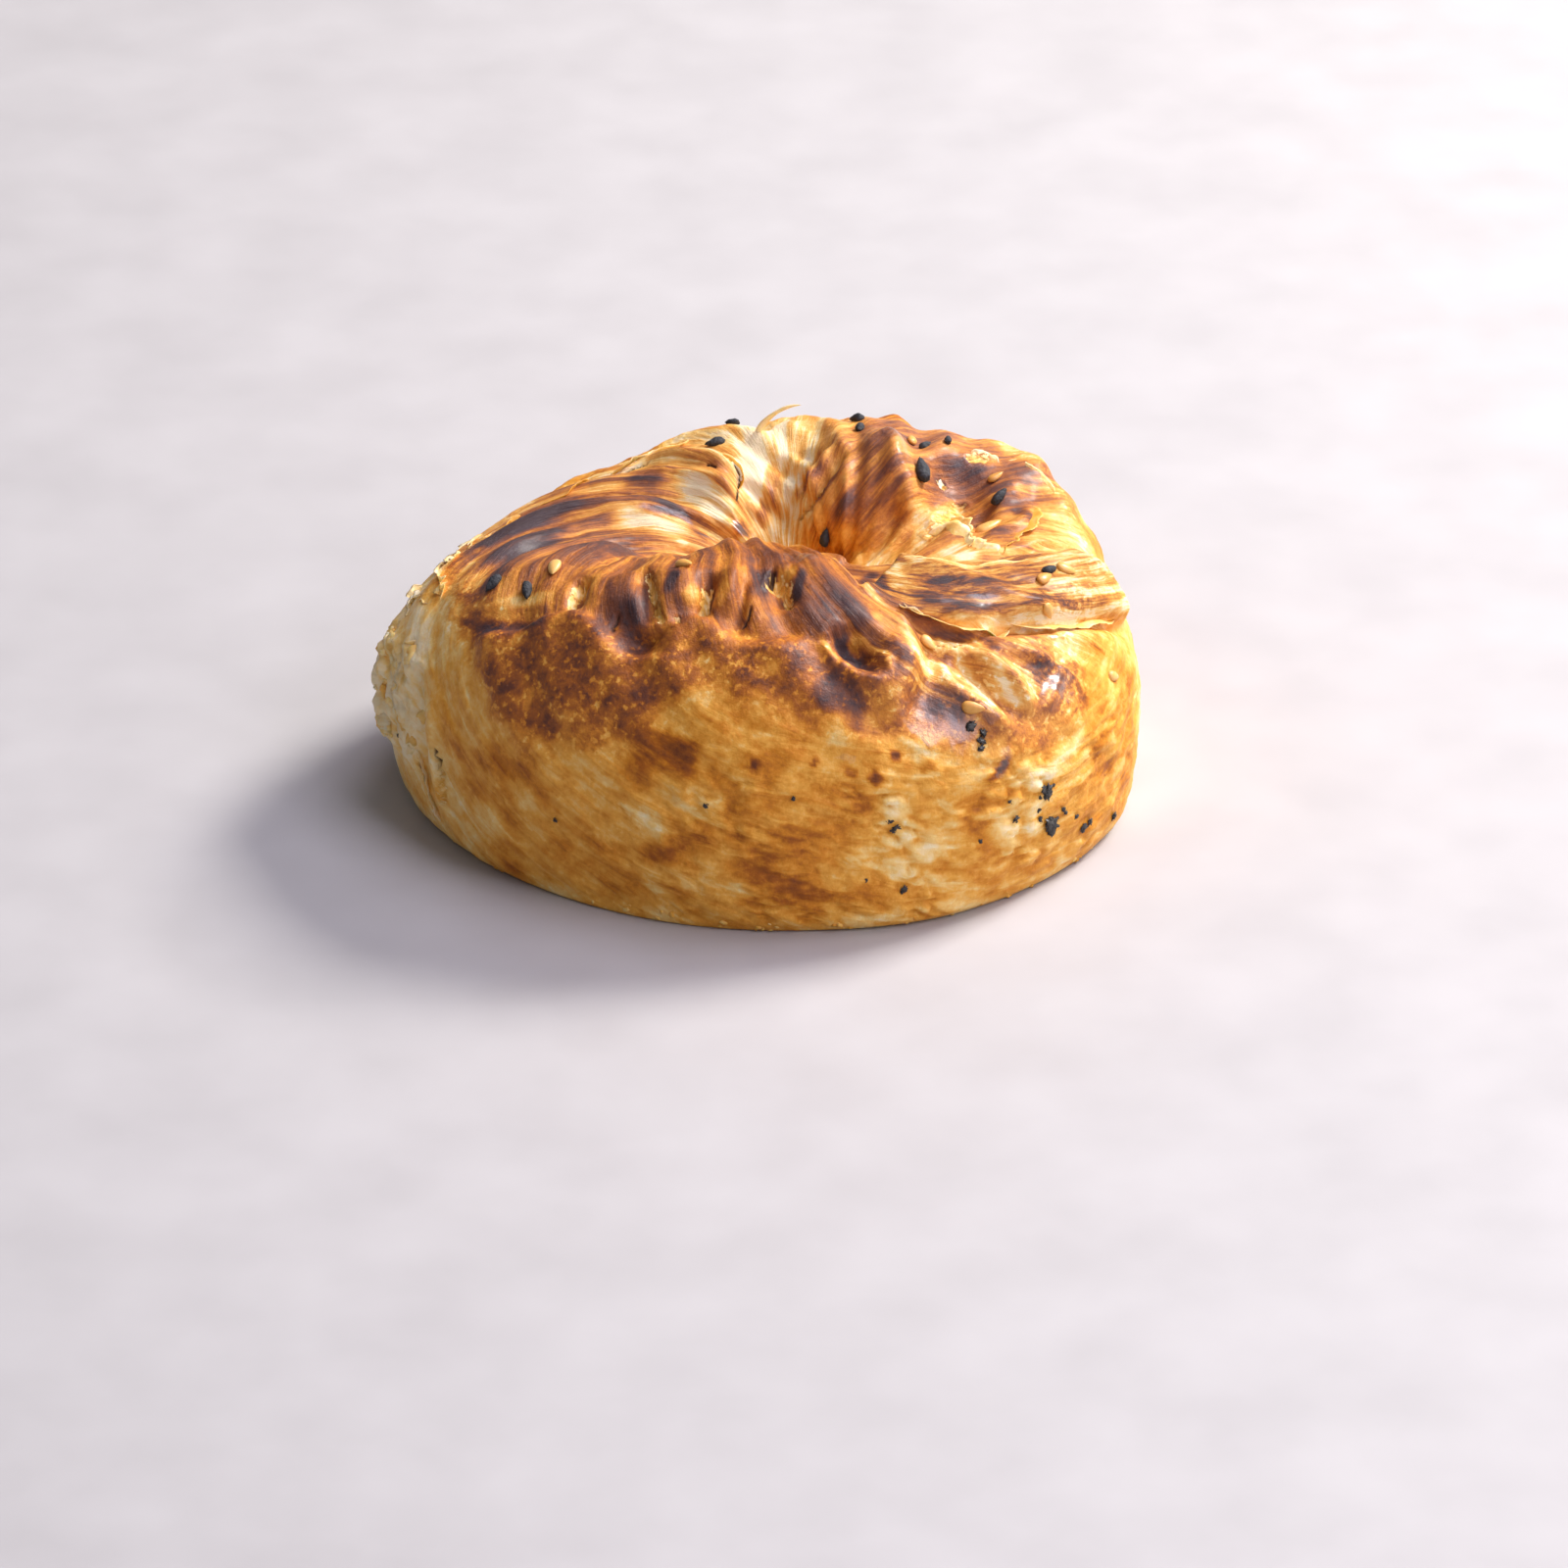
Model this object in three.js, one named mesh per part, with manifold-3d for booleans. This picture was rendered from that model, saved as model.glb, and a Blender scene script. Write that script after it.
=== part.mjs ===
// A flaky olive bun: a rope of rolled, layered dough laid round into a ring, whose
// middle stays a deep dimple. The rope's loose end lies over the right side as a
// tongue, and nigella and sesame seeds stick to the glazed top.
//
// The crust is one surface over (azimuth, ring). The azimuth is in degrees round the
// dimple, counterclockwise from +X seen from above, so the front is at 270. The ring
// number says how far along the section a point is: 0 is the dimple's floor, 1 its
// mouth, 2 the crest, 3 the belly, 4 the foot and 5 the middle of the flat base.
// Folds, layer edges and dents are relief on that surface.
import * as THREE from "three";
import { mergeVertices } from "three/addons/utils/BufferGeometryUtils.js";
import Module from "manifold-3d";

const wasm = await Module();
wasm.setup();

// ---- Driving dimensions, in millimetres and degrees ----
const CENTRE = [6.1, 2.5]; // the axis of the rings, beside the origin
const DIMPLE_SHIFT = [-1, 1]; // how far the dimple lies off that axis
const FLOOR_Z = 17; // height of the dimple's floor
const STATION_STEP = 30; // degrees from one station to the next
// Stations round the ring, from azimuth 0. "ramp" is 0 where the crest drops steeply
// into the dimple and 1 where the top slopes gently down to it.
const STATIONS = [
  { mouth: 9.0, mouthZ: 31, crest: 27.0, crestZ: 36.8, belly: 47.2, bellyZ: 14, foot: 45.4, ramp: 1.0 },
  { mouth: 8.0, mouthZ: 30, crest: 23.0, crestZ: 41.0, belly: 46.8, bellyZ: 16, foot: 44.3, ramp: 0.4 },
  { mouth: 6.5, mouthZ: 29, crest: 20.5, crestZ: 42.4, belly: 43.6, bellyZ: 17, foot: 41.2, ramp: 0.1 },
  { mouth: 7.5, mouthZ: 27, crest: 21.5, crestZ: 40.4, belly: 43.4, bellyZ: 17, foot: 40.8, ramp: 0.2 },
  { mouth: 7.0, mouthZ: 27, crest: 23.5, crestZ: 38.5, belly: 45.2, bellyZ: 17, foot: 42.5, ramp: 0.5 },
  { mouth: 7.5, mouthZ: 28, crest: 28.0, crestZ: 36.5, belly: 49.6, bellyZ: 16, foot: 46.5, ramp: 0.9 },
  { mouth: 8.0, mouthZ: 29, crest: 32.0, crestZ: 36.0, belly: 57.2, bellyZ: 15, foot: 54.0, ramp: 1.0 },
  { mouth: 7.5, mouthZ: 30, crest: 29.0, crestZ: 40.5, belly: 54.0, bellyZ: 15, foot: 50.6, ramp: 0.7 },
  { mouth: 6.5, mouthZ: 31, crest: 23.0, crestZ: 43.5, belly: 50.3, bellyZ: 15, foot: 47.6, ramp: 0.2 },
  { mouth: 6.5, mouthZ: 31, crest: 20.0, crestZ: 43.8, belly: 48.8, bellyZ: 14, foot: 45.8, ramp: 0.0 },
  { mouth: 7.5, mouthZ: 30, crest: 21.0, crestZ: 41.0, belly: 49.3, bellyZ: 14, foot: 46.2, ramp: 0.2 },
  { mouth: 9.0, mouthZ: 31, crest: 25.0, crestZ: 37.6, belly: 48.8, bellyZ: 13, foot: 46.2, ramp: 0.9 },
];
const SHOULDER_POWER = 2 / 2.25; // of the superellipse from crest to belly
const FOOT_POWER = 2 / 2.4; // of the superellipse from belly to foot

// ---- Relief ----
// Each path is a list of [azimuth, ring] points. Heights and widths are in mm.
//   ridge: rises along the path, or sinks if its height is negative
//   slab:  the same with a flat top and steep sides
//   step:  raises what lies left of the path's direction and lowers the right,
//          and dies away over "fade" mm
// "taper" is the share of the path over which it fades in and out.
const ridge = (height, width, taper, path) => ({ kind: "ridge", height, width, taper, path });
const slab = (height, width, taper, path) => ({ kind: "slab", height, width, taper, path });
const step = (height, width, taper, fade, path) => ({
  kind: "step",
  height,
  width,
  taper,
  fade,
  path,
});

// The loose end of the rope: a tongue from the dimple out over the right side, with a
// crevice under its lower edge and another behind it.
const TONGUE = [
  slab(2.2, 6.2, 0.03, [[298, 2.03], [307, 2.12], [318, 2.17], [335, 2.26], [356, 2.5]]),
  ridge(-2.6, 1.5, 0.12, [[296, 2.24], [306, 2.34], [319, 2.36], [329, 2.42], [342, 2.54], [352, 2.74]]),
  ridge(-1.6, 1.5, 0.2, [[312, 1.9], [326, 1.99], [338, 2.05], [352, 2.18]]),
];
// The front lobe: its wavy right edge, which stands above the skirt beside it, a dent
// with layers across it, and the scalloped edge of the outer layer on its shoulder.
const FRONT_LOBE = [
  step(-1.9, 1.2, 0.12, 9, [[276, 1.86], [286, 2.03], [291, 2.18], [296, 2.27], [295, 2.42], [285, 2.68]]),
  ridge(-4.2, 3.0, 0.4, [[276, 2.3], [282, 2.38], [288, 2.44]]),
  ridge(1.6, 1.2, 0.3, [[274, 2.33], [277, 2.42], [282, 2.49], [289, 2.51]]),
  ridge(1.0, 0.9, 0.3, [[282, 2.3], [285, 2.38], [288, 2.46]]),
  step(-0.8, 0.8, 0.1, 4.5, [[204, 2.54], [211, 2.46], [217, 2.34], [222, 2.32], [229, 2.38], [237, 2.48]]),
  step(-0.8, 0.8, 0.1, 4.5, [[237, 2.46], [241, 2.36], [247, 2.28], [257, 2.36], [264, 2.37], [272, 2.32]]),
  ridge(-3.0, 2.8, 0.4, [[237, 2.34], [239, 2.4], [240, 2.48]]),
];
// Creases that gather the front lobe's top, and the pleats between them.
const FRONT_GATHERS = [
  ridge(-2.0, 1.1, 0.3, [[212, 2.12], [216, 2.22], [220, 2.32]]),
  ridge(-2.4, 1.3, 0.3, [[224, 2.06], [230, 2.16], [235, 2.26], [239, 2.36]]),
  ridge(-2.0, 1.0, 0.3, [[243, 2.08], [246, 2.18], [247, 2.3]]),
  ridge(-1.2, 0.9, 0.3, [[253, 2.06], [255, 2.2], [257, 2.34]]),
  ridge(-2.4, 1.5, 0.3, [[262, 2.04], [265, 2.14], [268, 2.25]]),
  ridge(1.2, 2.6, 0.3, [[218, 2.06], [224, 2.18], [229, 2.32]]),
  ridge(1.2, 2.2, 0.3, [[234, 2.05], [239, 2.16], [242, 2.26]]),
  ridge(1.0, 2.2, 0.3, [[249, 2.05], [251, 2.16], [252, 2.28]]),
];
// The right back lobe: a face that bulges into the dimple and ends in a sharp ridge,
// the hollow beside that ridge with torn layers in it, and the hollow's outer rim.
const BACK_LOBE = [
  ridge(3.0, 7.0, 0.35, [[52, 1.0], [52, 1.4], [48, 1.8], [44, 2.0]]),
  ridge(2.4, 2.2, 0.25, [[66, 2.12], [50, 1.98], [36, 1.82], [26, 1.68], [14, 1.55]]),
  ridge(-3.6, 4.6, 0.3, [[38, 2.12], [26, 2.04], [14, 1.93], [4, 1.76]]),
  ridge(1.6, 3.2, 0.3, [[52, 2.36], [38, 2.42], [22, 2.4], [8, 2.44]]),
  ridge(-1.4, 1.0, 0.3, [[18, 2.1], [8, 1.95], [359, 1.72]]),
  ridge(1.0, 1.1, 0.3, [[16, 2.25], [5, 2.1], [356, 1.92]]),
  ridge(-1.0, 1.0, 0.3, [[2, 2.4], [356, 2.2], [344, 2.06]]),
];
// The pale wall between the left and back lobes, and folds that run into the dimple.
const BACK_WALL = [
  ridge(-2.6, 4.5, 0.3, [[104, 1.1], [100, 1.5], [95, 1.85], [90, 2.15]]),
  step(1.5, 1.1, 0.2, 8, [[128, 1.2], [126, 1.5], [122, 1.7], [118, 1.92], [124, 2.1], [134, 2.3]]),
  ridge(-1.4, 1.2, 0.3, [[73, 1.95], [85, 1.74], [97, 1.5], [108, 1.3]]),
  ridge(-1.4, 1.1, 0.3, [[60, 1.9], [70, 1.6], [80, 1.34]]),
  ridge(0.9, 1.2, 0.3, [[66, 1.95], [78, 1.68], [90, 1.4]]),
];
// Long folds that sweep over the left lobe into the dimple.
const LEFT_LOBE = [
  ridge(1.3, 1.7, 0.25, [[188, 2.34], [178, 2.1], [168, 1.95], [158, 1.8], [148, 1.6]]),
  ridge(-1.2, 1.4, 0.25, [[194, 2.38], [186, 2.16], [178, 2.05], [168, 1.88], [158, 1.66]]),
  ridge(1.1, 1.6, 0.25, [[176, 2.3], [168, 2.16], [160, 2.02], [150, 1.85], [140, 1.62]]),
  ridge(-1.1, 1.4, 0.25, [[165, 2.25], [156, 2.05], [146, 1.86], [136, 1.66]]),
  ridge(1.4, 2.4, 0.3, [[202, 2.36], [199, 2.14], [192, 1.92], [184, 1.66]]),
  ridge(-1.4, 1.6, 0.3, [[212, 2.1], [204, 1.94], [196, 1.76], [186, 1.5]]),
];
// The skirt right of the front lobe: ribs that fan out, and a round blister.
const SKIRT = [
  ridge(1.2, 1.2, 0.2, [[306, 2.4], [309, 2.48], [311, 2.58], [312, 2.72]]),
  ridge(1.0, 1.1, 0.2, [[310, 2.4], [315, 2.46], [322, 2.56]]),
  ridge(1.1, 1.3, 0.2, [[300, 2.4], [299, 2.5], [303, 2.62], [308, 2.74]]),
  ridge(-1.2, 1.0, 0.2, [[303, 2.4], [305, 2.52], [309, 2.68]]),
  ridge(0.9, 4.2, 0.45, [[317, 2.6], [319, 2.68]]),
];
// Torn crumb on the left side.
const TORN_CRUMB = [
  ridge(1.8, 2.4, 0.3, [[185, 2.62], [187, 2.84], [189, 3.0], [191, 3.2]]),
  ridge(-1.2, 1.6, 0.3, [[197, 2.7], [199, 2.95], [202, 3.25]]),
  ridge(1.0, 1.3, 0.3, [[202, 2.8], [204, 3.05], [207, 3.4]]),
];
// Folds round the back, out of the photograph's sight.
const FAR_SIDE = [
  ridge(-1.2, 1.6, 0.25, [[96, 2.1], [100, 2.35], [108, 2.7], [122, 3.0]]),
  ridge(1.0, 2.0, 0.25, [[62, 2.3], [70, 2.5], [82, 2.8], [96, 3.0]]),
  ridge(-1.0, 1.5, 0.25, [[20, 2.55], [30, 2.7], [44, 2.9], [60, 3.05]]),
  ridge(0.9, 2.2, 0.25, [[134, 2.35], [142, 2.6], [154, 2.85], [168, 3.0]]),
];
const RELIEF = [
  TONGUE,
  FRONT_LOBE,
  FRONT_GATHERS,
  BACK_LOBE,
  BACK_WALL,
  LEFT_LOBE,
  SKIRT,
  TORN_CRUMB,
  FAR_SIDE,
].flat();
const PATH_SAMPLES = 18; // straight stretches along a relief path
const LUMPS = [
  // slow unevenness of the whole crust: [height in mm, waves round, phase, phase per ring]
  [0.45, 3, 0.4, 1.1],
  [0.35, 5, 2.1, -1.6],
  [0.25, 9, 4.0, 2.3],
];
const GATHERS = [
  // the dough's gathers, which run out from the dimple
  [0.3, 17, 0.7, -14],
  [0.26, 29, 3.9, -23],
];

// ---- Grid ----
const COLUMNS = 120; // round the ring
const ROWS = [4, 11, 16, 5]; // between one ring number and the next, 0 to 4
const ROW_CROWDING = [1, 1, 1.25, 1]; // over 1 draws a band's rows together at its start

// ---- Seeds: half lengths along, across and up, in mm ----
const SEED_KINDS = {
  nigella: [1.5, 0.85, 0.8],
  sesame: [1.65, 0.98, 0.6],
};
const SEED_SINK = 0.25; // how deep a seed is pressed in, as a share of its half height
// [azimuth, ring, turn in degrees from the way out of the dimple, size]
const NIGELLA = [
  [199, 2.33, 20, 1.0],
  [205, 2.28, 60, 1.0],
  [115, 2.12, 80, 1.0],
  [107, 2.26, 40, 0.8],
  [73, 2.2, 60, 0.9],
  [69, 2.09, 10, 0.9],
  [44, 2.07, 0, 0.7],
  [41, 2.13, 50, 0.75],
  [30, 1.84, 75, 1.35],
  [16, 2.1, 35, 1.0],
  [338, 2.26, 70, 0.9],
  [57, 1.2, 0, 0.9],
];
const SESAME = [
  [204, 2.15, 55, 1.0],
  [236, 2.08, 65, 1.05],
  [6, 2.0, 35, 1.3],
  [334, 2.27, 80, 0.9],
  [342, 2.3, 20, 0.9],
  [299, 2.34, 20, 0.8],
  [301, 2.62, 70, 0.95],
  [327, 2.37, 20, 0.8],
  [25, 2.17, 10, 0.75],
  [50, 2.08, 40, 0.8],
  [335, 2.72, 60, 0.8],
];
const HIDDEN_SEEDS = 14; // strewn over the back's flank, which the photograph doesn't show
const HIDDEN_FROM = 55;
const HIDDEN_TO = 135;
const HIDDEN_RING = 2.6; // the highest of them, and how many rings below it they reach
const HIDDEN_REACH = 0.35;
const STREW_SEED = 11;

// The thin curl of dough that stands up at the back.
const CURL = { azimuth: 101, ring: 2.24, length: 6.5, radius: 1.2, lean: 0.55 };

const radians = THREE.MathUtils.degToRad;

// One station value at any azimuth, on a smooth closed curve through the stations.
function stationValue(key, azimuth) {
  const count = STATIONS.length;
  const at = THREE.MathUtils.euclideanModulo(azimuth, 360) / STATION_STEP;
  const i = Math.floor(at);
  const t = at - i;
  const [p0, p1, p2, p3] = [-1, 0, 1, 2].map((k) => STATIONS[(i + k + count) % count][key]);
  return (
    0.5 *
    (2 * p1 +
      (p2 - p0) * t +
      (2 * p0 - 5 * p1 + 4 * p2 - p3) * t * t +
      (3 * p1 - p0 - 3 * p2 + p3) * t * t * t)
  );
}

// The section at one azimuth: [distance from the axis, height] at a ring number.
function section(azimuth, ring) {
  const value = (key) => stationValue(key, azimuth);
  const t = ring - Math.floor(ring);
  const c = Math.cos((t * Math.PI) / 2);
  const s = Math.sin((t * Math.PI) / 2);
  if (ring >= 4) return [value("foot") * (5 - ring), 0];
  if (ring >= 3) {
    const [foot, belly] = [value("foot"), value("belly")];
    return [foot + (belly - foot) * c ** FOOT_POWER, value("bellyZ") * (1 - s ** FOOT_POWER)];
  }
  if (ring >= 2) {
    const [crest, bellyZ] = [value("crest"), value("bellyZ")];
    return [
      crest + (value("belly") - crest) * s ** SHOULDER_POWER,
      bellyZ + (value("crestZ") - bellyZ) * c ** SHOULDER_POWER,
    ];
  }
  const [mouth, mouthZ] = [value("mouth"), value("mouthZ")];
  if (ring >= 1) {
    const ramp = THREE.MathUtils.clamp(value("ramp"), 0, 1);
    const out = THREE.MathUtils.lerp(1 - c, t ** 1.3, ramp);
    const up = THREE.MathUtils.lerp(s, (1 - Math.cos(Math.PI * t)) / 2, ramp);
    return [mouth + (value("crest") - mouth) * out, mouthZ + (value("crestZ") - mouthZ) * up];
  }
  return [mouth * s, FLOOR_Z + (mouthZ - FLOOR_Z) * (1 - c)];
}

// The smooth crust, before any relief.
function basePoint(azimuth, ring) {
  const [out, z] = section(azimuth, ring);
  const a = radians(azimuth);
  const shift = 1 - THREE.MathUtils.smoothstep(ring, 0, 2);
  return new THREE.Vector3(
    CENTRE[0] + DIMPLE_SHIFT[0] * shift + out * Math.cos(a),
    CENTRE[1] + DIMPLE_SHIFT[1] * shift + out * Math.sin(a),
    z,
  );
}

// The outward normal of the smooth crust.
function baseNormal(azimuth, ring) {
  const [turn, step] = [0.5, 0.01];
  const round = basePoint(azimuth + turn, ring).sub(basePoint(azimuth - turn, ring));
  const along = basePoint(azimuth, ring + step).sub(basePoint(azimuth, Math.max(ring - step, 0)));
  return along.cross(round).normalize();
}

// A relief path as points on the smooth crust, evenly spread over its control points.
function samplePath(path) {
  const points = [];
  let last = path[0][0];
  const unwrapped = path.map(([azimuth, ring]) => {
    last += THREE.MathUtils.euclideanModulo(azimuth - last + 180, 360) - 180;
    return new THREE.Vector3(last, ring, 0);
  });
  const curve = new THREE.CatmullRomCurve3(unwrapped, false, "catmullrom", 0.5);
  for (let i = 0; i <= PATH_SAMPLES; i++) {
    const at = curve.getPoint(i / PATH_SAMPLES);
    points.push(basePoint(at.x, at.y));
  }
  return points;
}

const reliefPaths = RELIEF.map((feature) => ({ ...feature, points: samplePath(feature.path) }));

// The nearest place on a path: how far off, how far along (0 to 1), and the side.
function nearestOnPath(points, point, normal) {
  let best = { distance: Infinity, along: 0, side: 1 };
  const [run, off] = [new THREE.Vector3(), new THREE.Vector3()];
  for (let i = 0; i + 1 < points.length; i++) {
    run.subVectors(points[i + 1], points[i]);
    off.subVectors(point, points[i]);
    const t = THREE.MathUtils.clamp(off.dot(run) / run.lengthSq(), 0, 1);
    off.addScaledVector(run, -t);
    const distance = off.length();
    if (distance < best.distance) {
      const side = Math.sign(off.dot(run.clone().cross(normal))) || 1;
      best = { distance, along: (i + t) / (points.length - 1), side: -side };
    }
  }
  return best;
}

// How far one feature lifts a point of the crust.
function featureHeight(feature, point, normal) {
  const { distance, along, side } = nearestOnPath(feature.points, point, normal);
  const reach = feature.kind === "step" ? 3 * feature.fade : 3 * feature.width;
  if (distance > reach) return 0;
  const taper =
    THREE.MathUtils.smoothstep(along, 0, feature.taper) *
    THREE.MathUtils.smoothstep(1 - along, 0, feature.taper);
  const x = distance / feature.width;
  if (feature.kind === "step") {
    return feature.height * taper * side * Math.tanh(x) * Math.exp(-((distance / feature.fade) ** 2));
  }
  return feature.height * taper * Math.exp(-(x ** (feature.kind === "slab" ? 6 : 2)));
}

// Waves round the crust, each [height, waves, phase, phase per ring].
function waves(table, azimuth, ring) {
  return table.reduce(
    (sum, [height, count, phase, turn]) =>
      sum + height * Math.sin(count * radians(azimuth) + phase + turn * ring),
    0,
  );
}

// The finished crust: the smooth one lifted along its normal. The relief dies away
// towards the dimple's floor and the flat base.
function crustPoint(azimuth, ring) {
  const point = basePoint(azimuth, ring);
  const inside = THREE.MathUtils.smoothstep(ring, 0.15, 0.9);
  const above = 1 - THREE.MathUtils.smoothstep(ring, 3.55, 3.95);
  const strength = inside * above;
  if (strength === 0) return point;
  const normal = baseNormal(azimuth, ring);
  const onTop = 1 - THREE.MathUtils.smoothstep(ring, 2.3, 3.1);
  let height = waves(LUMPS, azimuth, ring) + waves(GATHERS, azimuth, ring) * onTop;
  for (const feature of reliefPaths) height += featureHeight(feature, point, normal);
  return point.addScaledVector(normal, height * strength);
}

// A closed mesh with shared vertices as a solid.
function solidOf(geometry) {
  const bare = geometry.clone();
  bare.deleteAttribute("normal");
  bare.deleteAttribute("uv");
  const merged = mergeVertices(bare, 1e-4);
  return new wasm.Manifold(
    new wasm.Mesh({
      numProp: 3,
      vertProperties: merged.attributes.position.array,
      triVerts: new Uint32Array(merged.index.array),
    }),
  );
}

// The crust as one closed mesh: rings of points between two poles.
function crustGeometry() {
  const rings = [];
  ROWS.forEach((rows, band) => {
    for (let i = band === 0 ? 1 : 0; i < rows; i++) rings.push(band + (i / rows) ** ROW_CROWDING[band]);
  });
  rings.push(4);
  const points = [crustPoint(0, 0)];
  for (const ring of rings) {
    for (let column = 0; column < COLUMNS; column++) {
      points.push(crustPoint((column * 360) / COLUMNS, ring));
    }
  }
  const base = points.length;
  points.push(basePoint(0, 5));
  const faces = [];
  for (let column = 0; column < COLUMNS; column++) {
    const next = (column + 1) % COLUMNS;
    const at = (row, c) => 1 + row * COLUMNS + c;
    faces.push(0, at(0, column), at(0, next));
    for (let row = 0; row + 1 < rings.length; row++) {
      const [a, b] = [at(row, column), at(row, next)];
      const [d, c] = [at(row + 1, column), at(row + 1, next)];
      faces.push(a, d, b, b, d, c);
    }
    faces.push(at(rings.length - 1, column), base, at(rings.length - 1, next));
  }
  const geometry = new THREE.BufferGeometry().setFromPoints(points);
  geometry.setIndex(faces);
  return geometry;
}

// Axes on the crust at a place: out of the dimple turned by an angle, across, and up.
function crustFrame(azimuth, ring, turn) {
  const at = crustPoint(azimuth, ring);
  const out = crustPoint(azimuth, ring + 0.03).sub(crustPoint(azimuth, ring - 0.03));
  const round = crustPoint(azimuth + 1, ring).sub(crustPoint(azimuth - 1, ring));
  const up = out.clone().cross(round).normalize();
  const along = out.normalize().applyAxisAngle(up, radians(turn));
  return { at, matrix: new THREE.Matrix4().makeBasis(along, up.clone().cross(along), up), up };
}

// One seed, a tapered ellipsoid pressed into the crust.
function seedSolid(kind, [azimuth, ring, turn, size]) {
  const [long, wide, high] = SEED_KINDS[kind].map((half) => half * size);
  const frame = crustFrame(azimuth, ring, turn);
  const seed = new THREE.SphereGeometry(1, 6, 4);
  seed.rotateZ(Math.PI / 2).scale(long, wide, high);
  seed.applyMatrix4(frame.matrix);
  const lift = frame.up.multiplyScalar(high * (1 - 2 * SEED_SINK)).add(frame.at);
  seed.translate(lift.x, lift.y, lift.z);
  return solidOf(seed);
}

// The thin curl at the back: a bent, flattened cone.
function curlSolid() {
  const { azimuth, ring, length, radius, lean } = CURL;
  const frame = crustFrame(azimuth, ring, 0);
  const cone = new THREE.ConeGeometry(radius, length, 6, 4);
  cone.rotateX(Math.PI / 2).translate(0, 0, length / 2 - 1);
  const at = cone.attributes.position;
  for (let i = 0; i < at.count; i++) {
    const up = at.getZ(i);
    at.setX(i, at.getX(i) * 0.5);
    at.setY(i, at.getY(i) - lean * (up / length) ** 2 * length);
  }
  cone.applyMatrix4(frame.matrix);
  cone.translate(frame.at.x, frame.at.y, frame.at.z);
  return solidOf(cone);
}

// Even seeds over the side that the photograph doesn't show, drawn from a seeded rule.
function hiddenSeeds() {
  let state = STREW_SEED;
  const draw = () => {
    state = (state * 16807) % 2147483647;
    return state / 2147483647;
  };
  draw();
  const seeds = [];
  for (let i = 0; i < HIDDEN_SEEDS; i++) {
    const azimuth = HIDDEN_FROM + ((HIDDEN_TO - HIDDEN_FROM) * (i + 0.8 * draw())) / HIDDEN_SEEDS;
    const ring = HIDDEN_RING + HIDDEN_REACH * draw();
    const place = [azimuth, ring, 180 * draw(), 0.85 + 0.25 * draw()];
    seeds.push([i % 2 ? "sesame" : "nigella", place]);
  }
  return seeds;
}

function bunGeometry() {
  const seeds = [
    ...NIGELLA.map((place) => ["nigella", place]),
    ...SESAME.map((place) => ["sesame", place]),
    ...hiddenSeeds(),
  ];
  let bun = solidOf(crustGeometry());
  for (const [kind, place] of seeds) bun = bun.add(seedSolid(kind, place));
  bun = bun.add(curlSolid());
  const pieces = bun.decompose().sort((a, b) => b.volume() - a.volume());
  const mesh = pieces[0].getMesh();
  const geometry = new THREE.BufferGeometry();
  geometry.setAttribute("position", new THREE.BufferAttribute(mesh.vertProperties, 3));
  geometry.setIndex(new THREE.BufferAttribute(mesh.triVerts, 1));
  geometry.computeBoundingBox();
  const middle = geometry.boundingBox.getCenter(new THREE.Vector3());
  return geometry.translate(-middle.x, -middle.y, 0);
}

const crust = new THREE.MeshStandardMaterial({ color: 0xc98a3c, roughness: 0.45, metalness: 0 });
const bun = new THREE.Mesh(bunGeometry(), crust);
bun.name = "bun";

const part = new THREE.Group();
part.add(bun);

export default part;
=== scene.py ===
"""Olive bun: a flaky ring bun with a deep dimple, glazed and browned on top.

The crust stands for the CAD node "bun". It is the same surface over (azimuth, ring)
as the solid, on a finer grid and with finer folds. The azimuth is in degrees round
the dimple, counterclockwise from +X seen from above, so the front is at 270. The ring
number is 0 on the dimple's floor, 1 at its mouth, 2 on the crest, 3 at the belly, 4
at the foot and 5 in the middle of the base. Surface sizes are in millimetres until a
mesh is made.
"""
import math

import bpy
import numpy as np
from mathutils import Matrix, Vector, noise


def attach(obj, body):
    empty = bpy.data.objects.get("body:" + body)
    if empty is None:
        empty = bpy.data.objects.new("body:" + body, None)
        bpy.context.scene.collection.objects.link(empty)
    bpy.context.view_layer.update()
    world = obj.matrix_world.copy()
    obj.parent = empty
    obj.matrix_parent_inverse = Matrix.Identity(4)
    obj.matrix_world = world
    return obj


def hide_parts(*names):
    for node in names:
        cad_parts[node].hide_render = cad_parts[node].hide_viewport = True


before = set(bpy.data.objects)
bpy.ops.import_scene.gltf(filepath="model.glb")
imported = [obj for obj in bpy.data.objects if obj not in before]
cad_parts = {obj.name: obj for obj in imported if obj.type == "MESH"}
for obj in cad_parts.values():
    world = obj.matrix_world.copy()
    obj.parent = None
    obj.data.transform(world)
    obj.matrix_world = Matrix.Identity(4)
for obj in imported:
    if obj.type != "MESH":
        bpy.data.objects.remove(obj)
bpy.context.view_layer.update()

MM = 0.001

# ---------------------------------------------------------------- the base surface
CENTRE = np.array([6.1, 2.5])
DIMPLE_SHIFT = np.array([-1.0, 1.0])
FLOOR_Z = 17.0
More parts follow.
